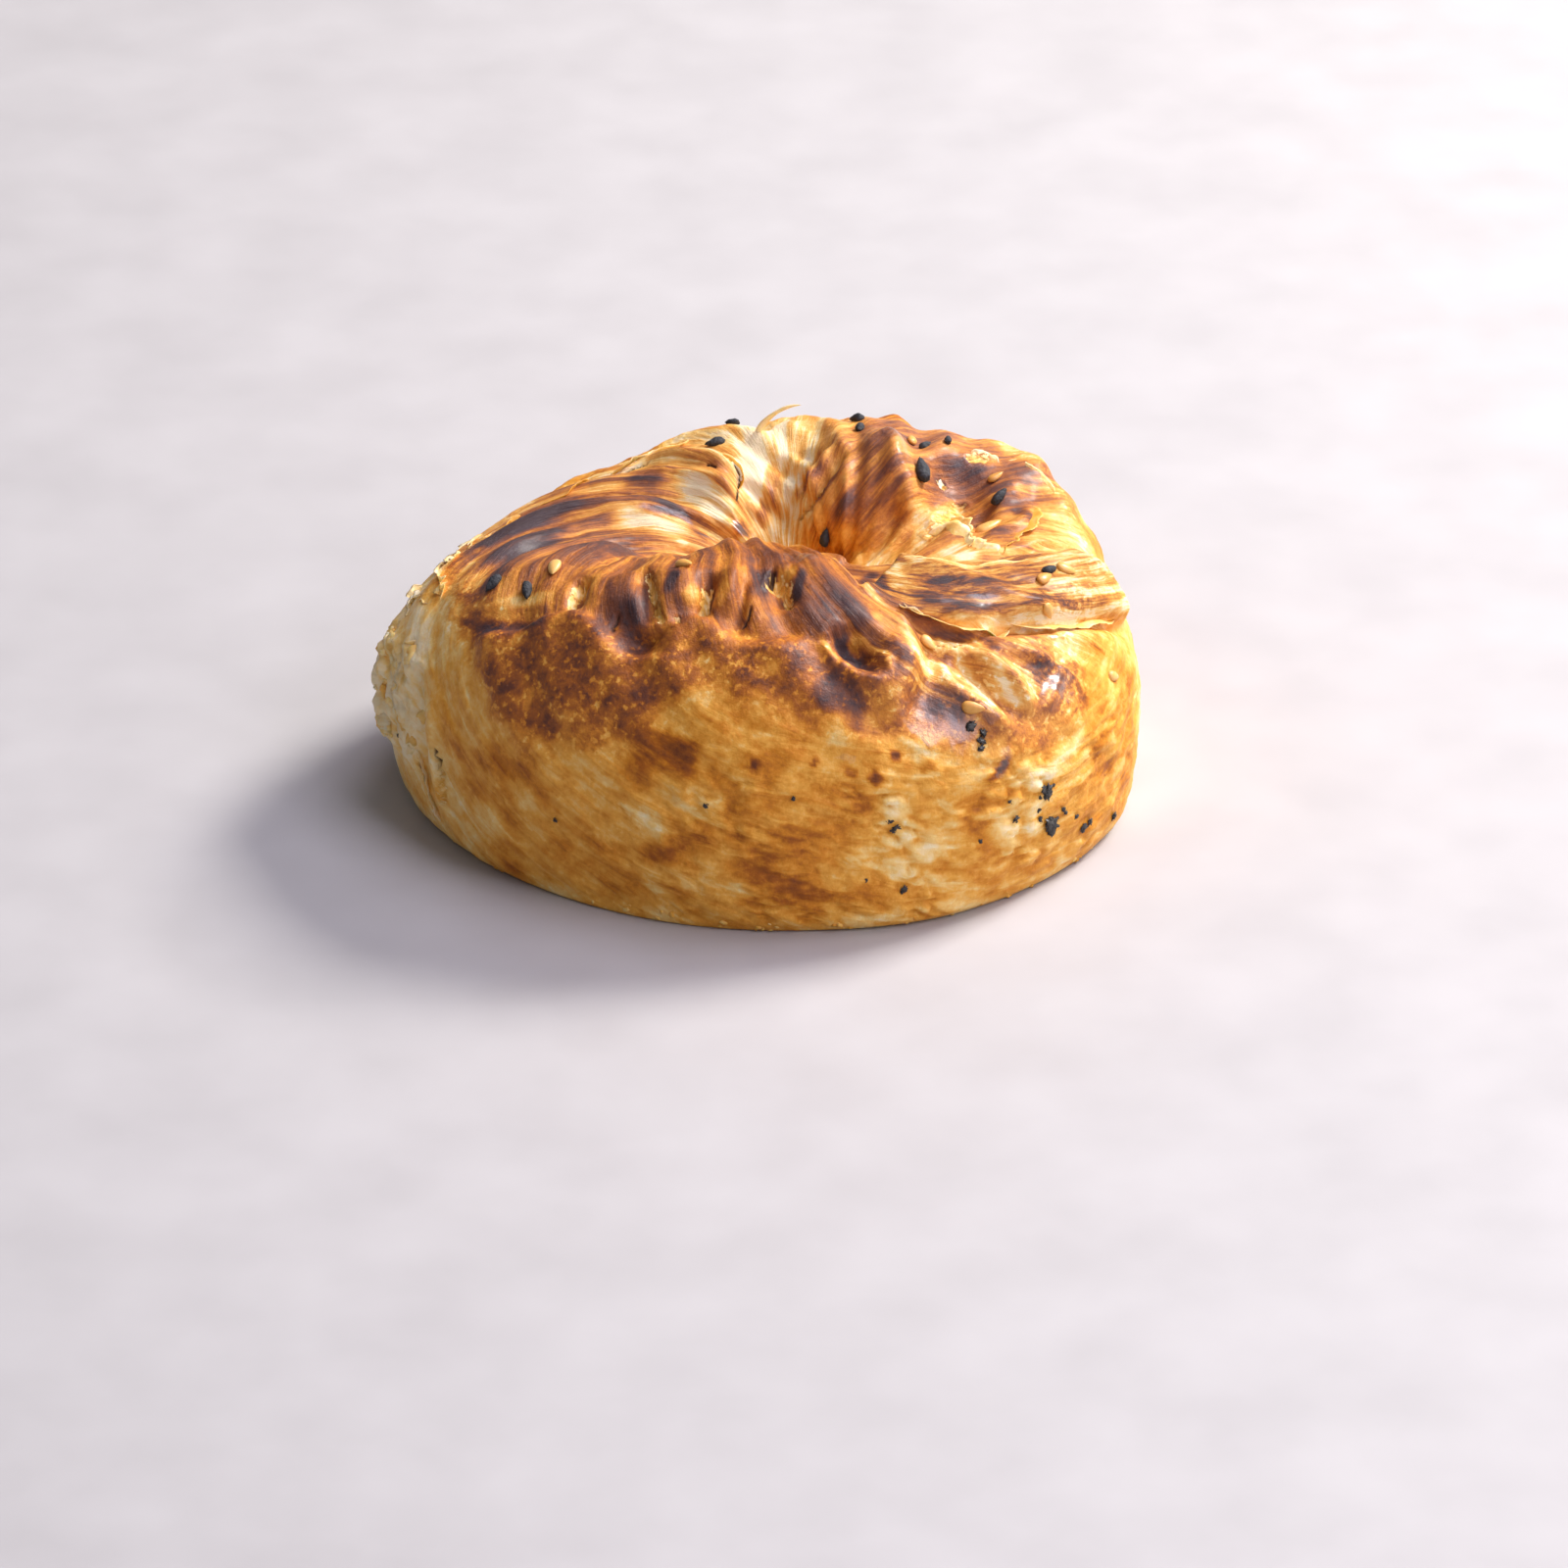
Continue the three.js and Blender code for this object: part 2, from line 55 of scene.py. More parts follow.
# Every 30 degrees: the distance from the centre and the height of the mouth, the crest and
# the belly, the foot's distance, and how evenly the dimple's wall slopes, from 0 to 1.
STATIONS = np.array([
    [9.0, 31, 27.0, 36.8, 47.2, 14, 45.4, 1.0],
    [8.0, 30, 23.0, 41.0, 46.8, 16, 44.3, 0.4],
    [6.5, 29, 20.5, 42.4, 43.6, 17, 41.2, 0.1],
    [7.5, 27, 21.5, 40.4, 43.4, 17, 40.8, 0.2],
    [7.0, 27, 23.5, 38.5, 45.2, 17, 42.5, 0.5],
    [7.5, 28, 28.0, 36.5, 49.6, 16, 46.5, 0.9],
    [8.0, 29, 32.0, 36.0, 57.2, 15, 54.0, 1.0],
    [7.5, 30, 29.0, 40.5, 54.0, 15, 50.6, 0.7],
    [6.5, 31, 23.0, 43.5, 50.3, 15, 47.6, 0.2],
    [6.5, 31, 20.0, 43.8, 48.8, 14, 45.8, 0.0],
    [7.5, 30, 21.0, 41.0, 49.3, 14, 46.2, 0.2],
    [9.0, 31, 25.0, 37.6, 48.8, 13, 46.2, 0.9],
])
SHOULDER_POWER = 2 / 2.25
FOOT_POWER = 2 / 2.4
RAMP_POWER = 1.3
TURN_STEP = 0.5  # degrees, for the normals
RING_STEP = 0.01


def smoothstep(x, low, high):
    t = np.clip((x - low) / (high - low), 0, 1)
    return t * t * (3 - 2 * t)


def window(x, start, full, fading, end):
    """1 from full to fading, and 0 before start and after end."""
    return smoothstep(x, start, full) * (1 - smoothstep(x, fading, end))


def curve_value(p0, p1, p2, p3, t):
    """A smooth curve through four values, a share t of the way from p1 to p2."""
    return 0.5 * (
        2 * p1
        + (p2 - p0) * t
        + (2 * p0 - 5 * p1 + 4 * p2 - p3) * t**2
        + (3 * p1 - p0 - 3 * p2 + p3) * t**3
    )


def around(values, azimuth):
    """Values given at evenly spaced stations, on a smooth closed curve, at any azimuth."""
    values = np.asarray(values, float)
    count = len(values)
    at = np.mod(azimuth, 360) / (360 / count)
    i = np.floor(at).astype(int)
    t = at - i
    if values.ndim > 1:
        t = t[..., None]
    return curve_value(*(values[(i + k) % count] for k in (-1, 0, 1, 2)), t)


def base_points(azimuth, ring):
    """The smooth crust, before any relief."""
    azimuth, ring = np.broadcast_arrays(np.asarray(azimuth, float), np.asarray(ring, float))
    station = np.moveaxis(around(STATIONS, azimuth), -1, 0)
    mouth, mouth_z, crest, crest_z, belly, belly_z, foot, ramp = station
    ramp = np.clip(ramp, 0, 1)
    band = np.clip(np.floor(ring), 0, 4)
    bands = [band == k for k in range(4)]
    t = ring - band
    c = np.clip(np.cos(t * math.pi / 2), 0, 1)
    s = np.clip(np.sin(t * math.pi / 2), 0, 1)
    slope_out = (1 - c) * (1 - ramp) + t**RAMP_POWER * ramp
    slope_up = s * (1 - ramp) + (1 - np.cos(math.pi * t)) / 2 * ramp
    out = np.select(
        bands,
        [
            mouth * s,
            mouth + (crest - mouth) * slope_out,
            crest + (belly - crest) * s**SHOULDER_POWER,
            foot + (belly - foot) * c**FOOT_POWER,
        ],
        foot * (5 - ring),
    )
    z = np.select(
        bands,
        [
            FLOOR_Z + (mouth_z - FLOOR_Z) * (1 - c),
            mouth_z + (crest_z - mouth_z) * slope_up,
            belly_z + (crest_z - belly_z) * c**SHOULDER_POWER,
            belly_z * (1 - s**FOOT_POWER),
        ],
        0.0,
    )
    shift = 1 - smoothstep(ring, 0, 2)
    a = np.radians(azimuth)
    x = CENTRE[0] + DIMPLE_SHIFT[0] * shift + out * np.cos(a)
    y = CENTRE[1] + DIMPLE_SHIFT[1] * shift + out * np.sin(a)
    return np.stack([x, y, z], -1)


def unit(v):
    return v / np.maximum(np.linalg.norm(v, axis=-1, keepdims=True), 1e-12)


def base_normals(azimuth, ring):
    turned = base_points(azimuth + TURN_STEP, ring) - base_points(azimuth - TURN_STEP, ring)
    below = np.maximum(ring - RING_STEP, 0)
    along = base_points(azimuth, ring + RING_STEP) - base_points(azimuth, below)
    return unit(np.cross(along, turned))


# ---------------------------------------------------------------- paths on the crust
PATH_SAMPLES = 18


def path_coordinates(path, samples):
    """Evenly sampled [azimuth, ring] points on a smooth curve through a path's points."""
    p = np.array(path, float)
    p[:, 0] = np.degrees(np.unwrap(np.radians(p[:, 0])))
    p = np.vstack([2 * p[0] - p[1], p, 2 * p[-1] - p[-2]])
    at = np.linspace(0, len(path) - 1, samples + 1)
    i = np.minimum(np.floor(at).astype(int), len(path) - 2)
    t = (at - i)[:, None]
    return curve_value(*(p[i + k] for k in range(4)), t)


def sample_path(path, samples=PATH_SAMPLES):
    """A path as points on the smooth crust."""
    return base_points(*path_coordinates(path, samples).T)


def near_path(path, points, normals, reach):
    """The points within reach of a path: their indices, how far off each is, how far
    along the path (0 to 1), and its side, 1 on the left and -1 on the right."""
    line = sample_path(path)
    inside = np.all((points > line.min(0) - reach) & (points < line.max(0) + reach), axis=1)
    index = np.nonzero(inside)[0]
    if not len(index):
        return index, np.zeros(0), np.zeros(0), np.zeros(0)
    run = line[1:] - line[:-1]
    off = points[index, None] - line[None, :-1]
    t = np.clip((off * run).sum(-1) / np.maximum((run * run).sum(-1), 1e-12), 0, 1)
    off = off - t[..., None] * run
    distance = np.linalg.norm(off, axis=-1)
    best = distance.argmin(1)
    rows = np.arange(len(index))
    side = -np.sign((off[rows, best] * np.cross(run[best], normals[index])).sum(-1))
    along = (best + t[rows, best]) / len(run)
    keep = distance[rows, best] < reach
    return index[keep], distance[rows, best][keep], along[keep], side[keep]


def taper_of(along, taper):
    return smoothstep(along, 0, taper) * smoothstep(1 - along, 0, taper)


# ---------------------------------------------------------------- relief
# The same features as the solid's, then finer ones. Heights and widths are in mm. A ridge
# is a bell across its path, or flat on top where its kind is slab. A step lifts the left of
# its path and sinks the right, and fades out to both sides. The numbers of a path are
# azimuth, ring, azimuth, ring and so on.
def on_path(numbers, **settings):
    return {"path": np.reshape(numbers, (-1, 2)), **settings}


def ridge(height, width, taper, *path, kind="ridge", fade=None):
    return on_path(path, kind=kind, height=height, width=width, taper=taper, fade=fade)


def step(height, width, taper, fade, *path):
    return ridge(height, width, taper, *path, kind="step", fade=fade)


TONGUE = [
    ridge(2.2, 6.2, 0.03, 298, 2.03, 307, 2.12, 318, 2.17, 335, 2.26, 356, 2.5, kind="slab"),
    ridge(-0.7, 1.2, 0.12, 296, 2.24, 306, 2.34, 318, 2.36),
    ridge(-1.8, 1.2, 0.2, 312, 2.35, 319, 2.36, 329, 2.42, 342, 2.54, 352, 2.74),
    ridge(-1.6, 1.5, 0.2, 312, 1.9, 326, 1.99, 338, 2.05, 352, 2.18),
]
FRONT_LOBE = [
    step(-1.9, 1.2, 0.12, 9, 276, 1.86, 286, 2.03, 291, 2.18, 296, 2.27, 295, 2.42, 285, 2.68),
    ridge(-3.4, 2.8, 0.4, 276, 2.3, 282, 2.38, 288, 2.44),
    ridge(1.2, 1.3, 0.3, 274, 2.33, 277, 2.42, 282, 2.49, 289, 2.51),
    ridge(1.0, 0.9, 0.3, 282, 2.3, 285, 2.38, 288, 2.46),
    step(-0.8, 0.8, 0.1, 4.5, 204, 2.54, 211, 2.46, 217, 2.34, 222, 2.32, 229, 2.38, 237, 2.48),
    step(-0.8, 0.8, 0.1, 4.5, 237, 2.46, 241, 2.36, 247, 2.28, 257, 2.36, 264, 2.37, 272, 2.32),
    ridge(-2.2, 2.8, 0.4, 237, 2.34, 239, 2.4, 240, 2.48),
]
FRONT_GATHERS = [
    ridge(-2.0, 1.1, 0.3, 212, 2.12, 216, 2.22, 220, 2.32),
    ridge(-1.9, 1.3, 0.3, 224, 2.06, 230, 2.16, 235, 2.26, 239, 2.36),
    ridge(-2.0, 1.0, 0.3, 243, 2.08, 246, 2.18, 247, 2.3),
    ridge(-1.2, 0.9, 0.3, 253, 2.06, 255, 2.2, 257, 2.34),
    ridge(-2.4, 1.5, 0.3, 262, 2.04, 265, 2.14, 268, 2.25),
    ridge(1.2, 2.6, 0.3, 218, 2.06, 224, 2.18, 229, 2.32),
    ridge(1.2, 2.2, 0.3, 234, 2.05, 239, 2.16, 242, 2.26),
    ridge(1.0, 2.2, 0.3, 249, 2.05, 251, 2.16, 252, 2.28),
]
BACK_LOBE = [
    ridge(3.0, 7.0, 0.35, 52, 1.0, 52, 1.4, 48, 1.8, 44, 2.0),
    ridge(2.4, 2.2, 0.25, 66, 2.12, 50, 1.98, 36, 1.82, 26, 1.68, 14, 1.55),
    ridge(-3.6, 4.6, 0.3, 38, 2.12, 26, 2.04, 14, 1.93, 4, 1.76),
    ridge(1.6, 3.2, 0.3, 52, 2.36, 38, 2.42, 22, 2.4, 8, 2.44),
    ridge(-1.4, 1.0, 0.3, 18, 2.1, 8, 1.95, 359, 1.72),
    ridge(1.0, 1.1, 0.3, 16, 2.25, 5, 2.1, 356, 1.92),
    ridge(-1.0, 1.0, 0.3, 2, 2.4, 356, 2.2, 344, 2.06),
]
BACK_WALL = [
    ridge(-2.6, 4.5, 0.3, 104, 1.1, 100, 1.5, 95, 1.85, 90, 2.15),
    step(1.5, 1.1, 0.2, 8, 128, 1.2, 126, 1.5, 122, 1.7, 118, 1.92, 124, 2.1, 134, 2.3),
    ridge(-1.4, 1.2, 0.3, 73, 1.95, 85, 1.74, 97, 1.5, 108, 1.3),
    ridge(-1.4, 1.1, 0.3, 60, 1.9, 70, 1.6, 80, 1.34),
    ridge(0.9, 1.2, 0.3, 66, 1.95, 78, 1.68, 90, 1.4),
]
LEFT_LOBE = [
    ridge(1.3, 1.7, 0.25, 188, 2.34, 178, 2.1, 168, 1.95, 158, 1.8, 148, 1.6),
    ridge(-1.2, 1.4, 0.25, 194, 2.38, 186, 2.16, 178, 2.05, 168, 1.88, 158, 1.66),
    ridge(1.1, 1.6, 0.25, 176, 2.3, 168, 2.16, 160, 2.02, 150, 1.85, 140, 1.62),
    ridge(-1.1, 1.4, 0.25, 165, 2.25, 156, 2.05, 146, 1.86, 136, 1.66),
    ridge(1.4, 2.4, 0.3, 202, 2.36, 199, 2.14, 192, 1.92, 184, 1.66),
    ridge(-1.4, 1.6, 0.3, 212, 2.1, 204, 1.94, 196, 1.76, 186, 1.5),
]
SKIRT = [
    ridge(1.2, 1.2, 0.2, 306, 2.4, 309, 2.48, 311, 2.58, 312, 2.72),
    ridge(1.0, 1.1, 0.2, 310, 2.4, 315, 2.46, 322, 2.56),
    ridge(1.1, 1.3, 0.2, 300, 2.4, 299, 2.5, 303, 2.62, 308, 2.74),
    ridge(-1.2, 1.0, 0.2, 303, 2.4, 305, 2.52, 309, 2.68),
    ridge(0.9, 4.2, 0.45, 317, 2.6, 319, 2.68),
]
TORN_CRUMB = [
    ridge(1.8, 2.4, 0.3, 185, 2.62, 187, 2.84, 189, 3.0, 191, 3.2),
    ridge(-1.2, 1.6, 0.3, 197, 2.7, 199, 2.95, 202, 3.25),
    ridge(1.0, 1.3, 0.3, 202, 2.8, 204, 3.05, 207, 3.4),
]
FAR_SIDE = [
    ridge(-1.2, 1.6, 0.25, 96, 2.1, 100, 2.35, 108, 2.7, 122, 3.0),
    ridge(1.0, 2.0, 0.25, 62, 2.3, 70, 2.5, 82, 2.8, 96, 3.0),
    ridge(-1.0, 1.5, 0.25, 20, 2.55, 30, 2.7, 44, 2.9, 60, 3.05),
    ridge(0.9, 2.2, 0.25, 134, 2.35, 142, 2.6, 154, 2.85, 168, 3.0),
]
RELIEF = (
    TONGUE + FRONT_LOBE + FRONT_GATHERS + BACK_LOBE + BACK_WALL
    + LEFT_LOBE + SKIRT + TORN_CRUMB + FAR_SIDE
)
# Waves round the bun: height, count, phase, and turn from one ring to the next.
LUMPS = [(0.45, 3, 0.4, 1.1), (0.35, 5, 2.1, -1.6), (0.25, 9, 4.0, 2.3)]
GATHERS = [(0.3, 17, 0.7, -14), (0.26, 29, 3.9, -23)]


def waves(table, azimuth, ring):
    a = np.radians(azimuth)
    return sum(
        height * np.sin(count * a + phase + turn * ring) for height, count, phase, turn in table
    )


RIDGE_POWER, SLAB_POWER = 2, 10  # a slab is flatter on top and steeper at its edges


def feature_heights(features, points, normals):
    """How far the features lift each point."""
    total = np.zeros(len(points))
    for feature in features:
        reach = 3 * (feature["fade"] or feature["width"])
        index, distance, along, side = near_path(feature["path"], points, normals, reach)
        x = distance / feature["width"]
        if feature["kind"] == "step":
            shape = side * np.tanh(x) * np.exp(-((distance / feature["fade"]) ** 2))
        else:
            shape = np.exp(-(x ** (SLAB_POWER if feature["kind"] == "slab" else RIDGE_POWER)))
        total[index] += feature["height"] * taper_of(along, feature["taper"]) * shape
    return total


# ---------------------------------------------------------------- flow of the layers
# Degrees by which the streaks on the top turn round the dimple from one ring to the next,
# every 30 degrees.
TWIST = [22, -4, -20, -8, 20, 42, 50, 46, 42, 40, 52, 46]
STREAK_ACROSS = 8.0  # noise units round the ring, per radian
STREAK_ALONG = 1.1  # noise units per ring
# How far the wrinkles on the side dip, in mm, every 30 degrees.
WRINKLE_DROP = [40, 28, 18, 10, 4, 0, 0, 20, 36, 44, 49, 49]
WRINKLE_ALONG = 6.0  # noise units round the ring, per radian
WRINKLE_ACROSS = 0.42  # noise units per mm


def flow_coordinates(azimuth, ring):
    """Seamless coordinates that change slowly along the streaks and fast across."""
    turned = np.radians(azimuth - around(TWIST, azimuth) * (ring - 2))
    across = STREAK_ACROSS * np.cos(turned), STREAK_ACROSS * np.sin(turned)
    return np.stack([*across, STREAK_ALONG * ring], -1)


def wrinkle_coordinates(azimuth, points):
    """Seamless coordinates that change slowly along the side's wrinkles and fast across."""
    a = np.radians(azimuth)
    level = points[:, 2] + around(WRINKLE_DROP, azimuth)
    along = WRINKLE_ALONG * np.cos(a), WRINKLE_ALONG * np.sin(a)
    return np.stack([*along, WRINKLE_ACROSS * level], -1)


# How puckered the side is, every 30 degrees: small soft folds with creases between them.
PUCKERED = [0.3, 0.15, 0.15, 0.2, 0.15, 0.15, 0.25, 0.2, 0.3, 0.9, 1.0, 0.6]
PUCKER_SCALE = [1.7, 1.7, 1.2]
PUCKER_STEEPNESS = 2.4


def puckers(azimuth, ring, points, wrinkle_flow, side):
    """The side's soft folds, in patches: below 0 in a crease and above 0 on a fold."""
    strength = around(PUCKERED, azimuth) * side
    strength *= window(ring, 2.7, 2.85, 3.5, 3.85)
    strength *= 0.4 + 0.6 * smoothstep(noise_at(points * 0.1 + 40, 2), -0.1, 0.3)
    creases = np.abs(noise_at(wrinkle_flow * PUCKER_SCALE + 17, 2))
    return strength * (np.clip(PUCKER_STEEPNESS * creases, 0, 1) - 0.5)


TONGUE_PATH = [[296, 2.02], [307, 2.12], [318, 2.17], [335, 2.26], [360, 2.52]]
TONGUE_REACH = 9.0  # mm to each side of its path
TONGUE_EDGE = 5.6, 7.0  # where it ends, in mm from its path
TONGUE_ALONG, TONGUE_ACROSS = 3.2, 0.55  # noise units along all of it, and per mm across


def tongue_coordinates(points, normals):
    """How much each point belongs to the tongue, and its coordinates along it."""
    index, distance, along, side = near_path(TONGUE_PATH, points, normals, TONGUE_REACH)
    belongs = np.zeros(len(points))
    belongs[index] = (1 - smoothstep(distance, *TONGUE_EDGE)) * taper_of(along, 0.06)
    coordinates = np.zeros((len(points), 3))
    coordinates[index, 0] = along * TONGUE_ALONG
    coordinates[index, 1] = distance * side * TONGUE_ACROSS
    return belongs, coordinates


NOISE_FALL, NOISE_GAIN = 0.9, 2.1  # how octaves weaken, and how much finer each is


def noise_at(coordinates, octaves=3):
    """Smooth noise of about -1 to 1 at each coordinate."""
    return np.array(
        [noise.fractal(Vector(c), NOISE_FALL, NOISE_GAIN, octaves) for c in coordinates]
    )


# ---------------------------------------------------------------- the crust's mesh
COLUMNS = 470
ROWS = [14, 56, 100, 30, 4]  # from each ring number to the next
ROW_CROWDING = [1.0, 1.0, 1.15, 1.0, 1.0]
FRONT = 265.0  # the azimuth with the closest columns
FRONT_CROWDING = 0.3


def crust_grid():
    share = np.linspace(0, 1, COLUMNS, endpoint=False)
    turn = 2 * math.pi * share
    azimuth = np.mod(FRONT + np.degrees(turn - FRONT_CROWDING * np.sin(turn)), 360)
    rings = [
        band + (i / rows) ** ROW_CROWDING[band]
        for band, rows in enumerate(ROWS)
        for i in range(rows)
        if band or i
    ]
    return azimuth, np.array(rings)


def capped_faces(count, rings):
    """Faces over rings of count points each, with one more point at either end."""
    turn = [(i, (i + 1) % count) for i in range(count)]
    last = 1 + (rings - 1) * count
    faces = [(0, 1 + j, 1 + i) for i, j in turn]
    for a in range(1, last, count):
        b = a + count
        faces += [(a + i, a + j, b + j, b + i) for i, j in turn]
    return faces + [(last + i, last + j, last + count) for i, j in turn]


def strength_at(ring):
    """The relief's strength, which fades towards the dimple's floor and the base."""
    return window(ring, 0.15, 0.9, 3.55, 3.95)


def lifted(azimuth, ring, extra=None):
    """Points on the finished crust, without its finest folds unless they are given."""
    points = base_points(azimuth, ring)
    normals = base_normals(azimuth, ring)
    on_top = 1 - smoothstep(ring, 2.3, 3.1)
    height = waves(LUMPS, azimuth, ring) + waves(GATHERS, azimuth, ring) * on_top
    height += feature_heights(RELIEF, points, normals)
    if extra is not None:
        height += extra
    return points + normals * (height * strength_at(ring))[:, None]


def mesh_object(name, vertices, faces, smooth=True):
    mesh = bpy.data.meshes.new(name)
    mesh.from_pydata([tuple(v) for v in vertices], [], faces)
    mesh.update()
    if smooth:
        mesh.polygons.foreach_set("use_smooth", [True] * len(mesh.polygons))
    piece = bpy.data.objects.new(name, mesh)
    bpy.context.scene.collection.objects.link(piece)
    return piece


def set_attribute(piece, name, values):
    values = np.asarray(values, np.float32)
    kind = "FLOAT" if values.ndim == 1 else "FLOAT_VECTOR"
    attribute = piece.data.attributes.new(name, kind, "POINT")
    attribute.data.foreach_set("value" if values.ndim == 1 else "vector", values.ravel())


# ---------------------------------------------------------------- browning and painted shade
# Every 10 degrees from azimuth 0: the ring where the brown ends, and the browning of the crest,
# of the shoulder above that ring and of the side below it. On the side from azimuth 0 to about
# 60, which faces the key light, the tone is darkened as painted shade. 0 is pale crumb and 1
# is nearly burnt.
BROWN_EDGE = [
    2.45, 2.45, 2.42, 2.40, 2.35, 2.30, 2.25, 2.25, 2.20, 2.20, 2.20, 2.25,
    2.30, 2.25, 2.30, 2.40, 2.42, 2.42, 2.40, 2.42, 2.50, 2.60, 2.76, 2.75,
    2.70, 2.52, 2.51, 2.55, 2.60, 2.64, 2.72, 2.75, 2.72, 2.50, 2.45, 2.45,
]
CREST_TONE = [
    0.43, 0.49, 0.54, 0.60, 0.63, 0.65, 0.62, 0.46, 0.24, 0.15, 0.10, 0.18,
    0.34, 0.42, 0.54, 0.58, 0.60, 0.64, 0.68, 0.70, 0.66, 0.60, 0.58, 0.64,
    0.62, 0.62, 0.66, 0.72, 0.72, 0.62, 0.55, 0.54, 0.52, 0.48, 0.43, 0.39,
]
SHOULDER_TONE = [
    0.30, 0.32, 0.40, 0.42, 0.42, 0.42, 0.42, 0.40, 0.38, 0.36, 0.36, 0.38,
    0.40, 0.40, 0.44, 0.48, 0.50, 0.50, 0.48, 0.42, 0.54, 0.62, 0.66, 0.66,
    0.64, 0.64, 0.64, 0.66, 0.66, 0.54, 0.47, 0.45, 0.43, 0.31, 0.25, 0.27,
]
# painted shade: darker from azimuth 0 to about 60, where the side faces the key light
SIDE_TONE_AND_SHADE = [
    0.30, 0.36, 0.43, 0.47, 0.48, 0.47, 0.45, 0.43, 0.41, 0.40, 0.40, 0.39,
    0.38, 0.37, 0.36, 0.36, 0.34, 0.30, 0.24, 0.19, 0.27, 0.36, 0.40, 0.40,
    0.42, 0.41, 0.42, 0.43, 0.40, 0.38, 0.35, 0.37, 0.49, 0.40, 0.34, 0.32,
]
DIMPLE_TONE = [
    0.22, 0.38, 0.53, 0.58, 0.58, 0.56, 0.53, 0.46, 0.38, 0.30, 0.25, 0.22,
    0.22, 0.25, 0.28, 0.28, 0.28, 0.30, 0.35, 0.35, 0.35, 0.35, 0.35, 0.35,
    0.35, 0.35, 0.30, 0.25, 0.20, 0.16, 0.14, 0.14, 0.14, 0.15, 0.16, 0.18,
]
# How strongly the crest is streaked along the flow of its layers, and the ring where the
# streaks end, every 30 degrees.
STREAKED = [0.8, 0.7, 0.6, 0.8, 0.9, 1.0, 0.95, 0.7, 0.6, 0.6, 0.8, 0.7]
STREAK_END = [2.5, 2.42, 2.4, 2.4, 2.4, 2.4, 2.4, 2.38, 2.36, 2.36, 2.62, 2.64]
# How glazed the top is, every 30 degrees.
GLAZED = [0.6, 0.8, 0.8, 0.6, 0.8, 0.7, 0.6, 0.4, 0.3, 0.25, 0.7, 0.7]
STROKE_POWER = 4  # how flat a stroke is across, and how sharp its edges are


def stroke(tone, width, *path, taper=0.3):
    return on_path(path, tone=tone, width=width, taper=taper)


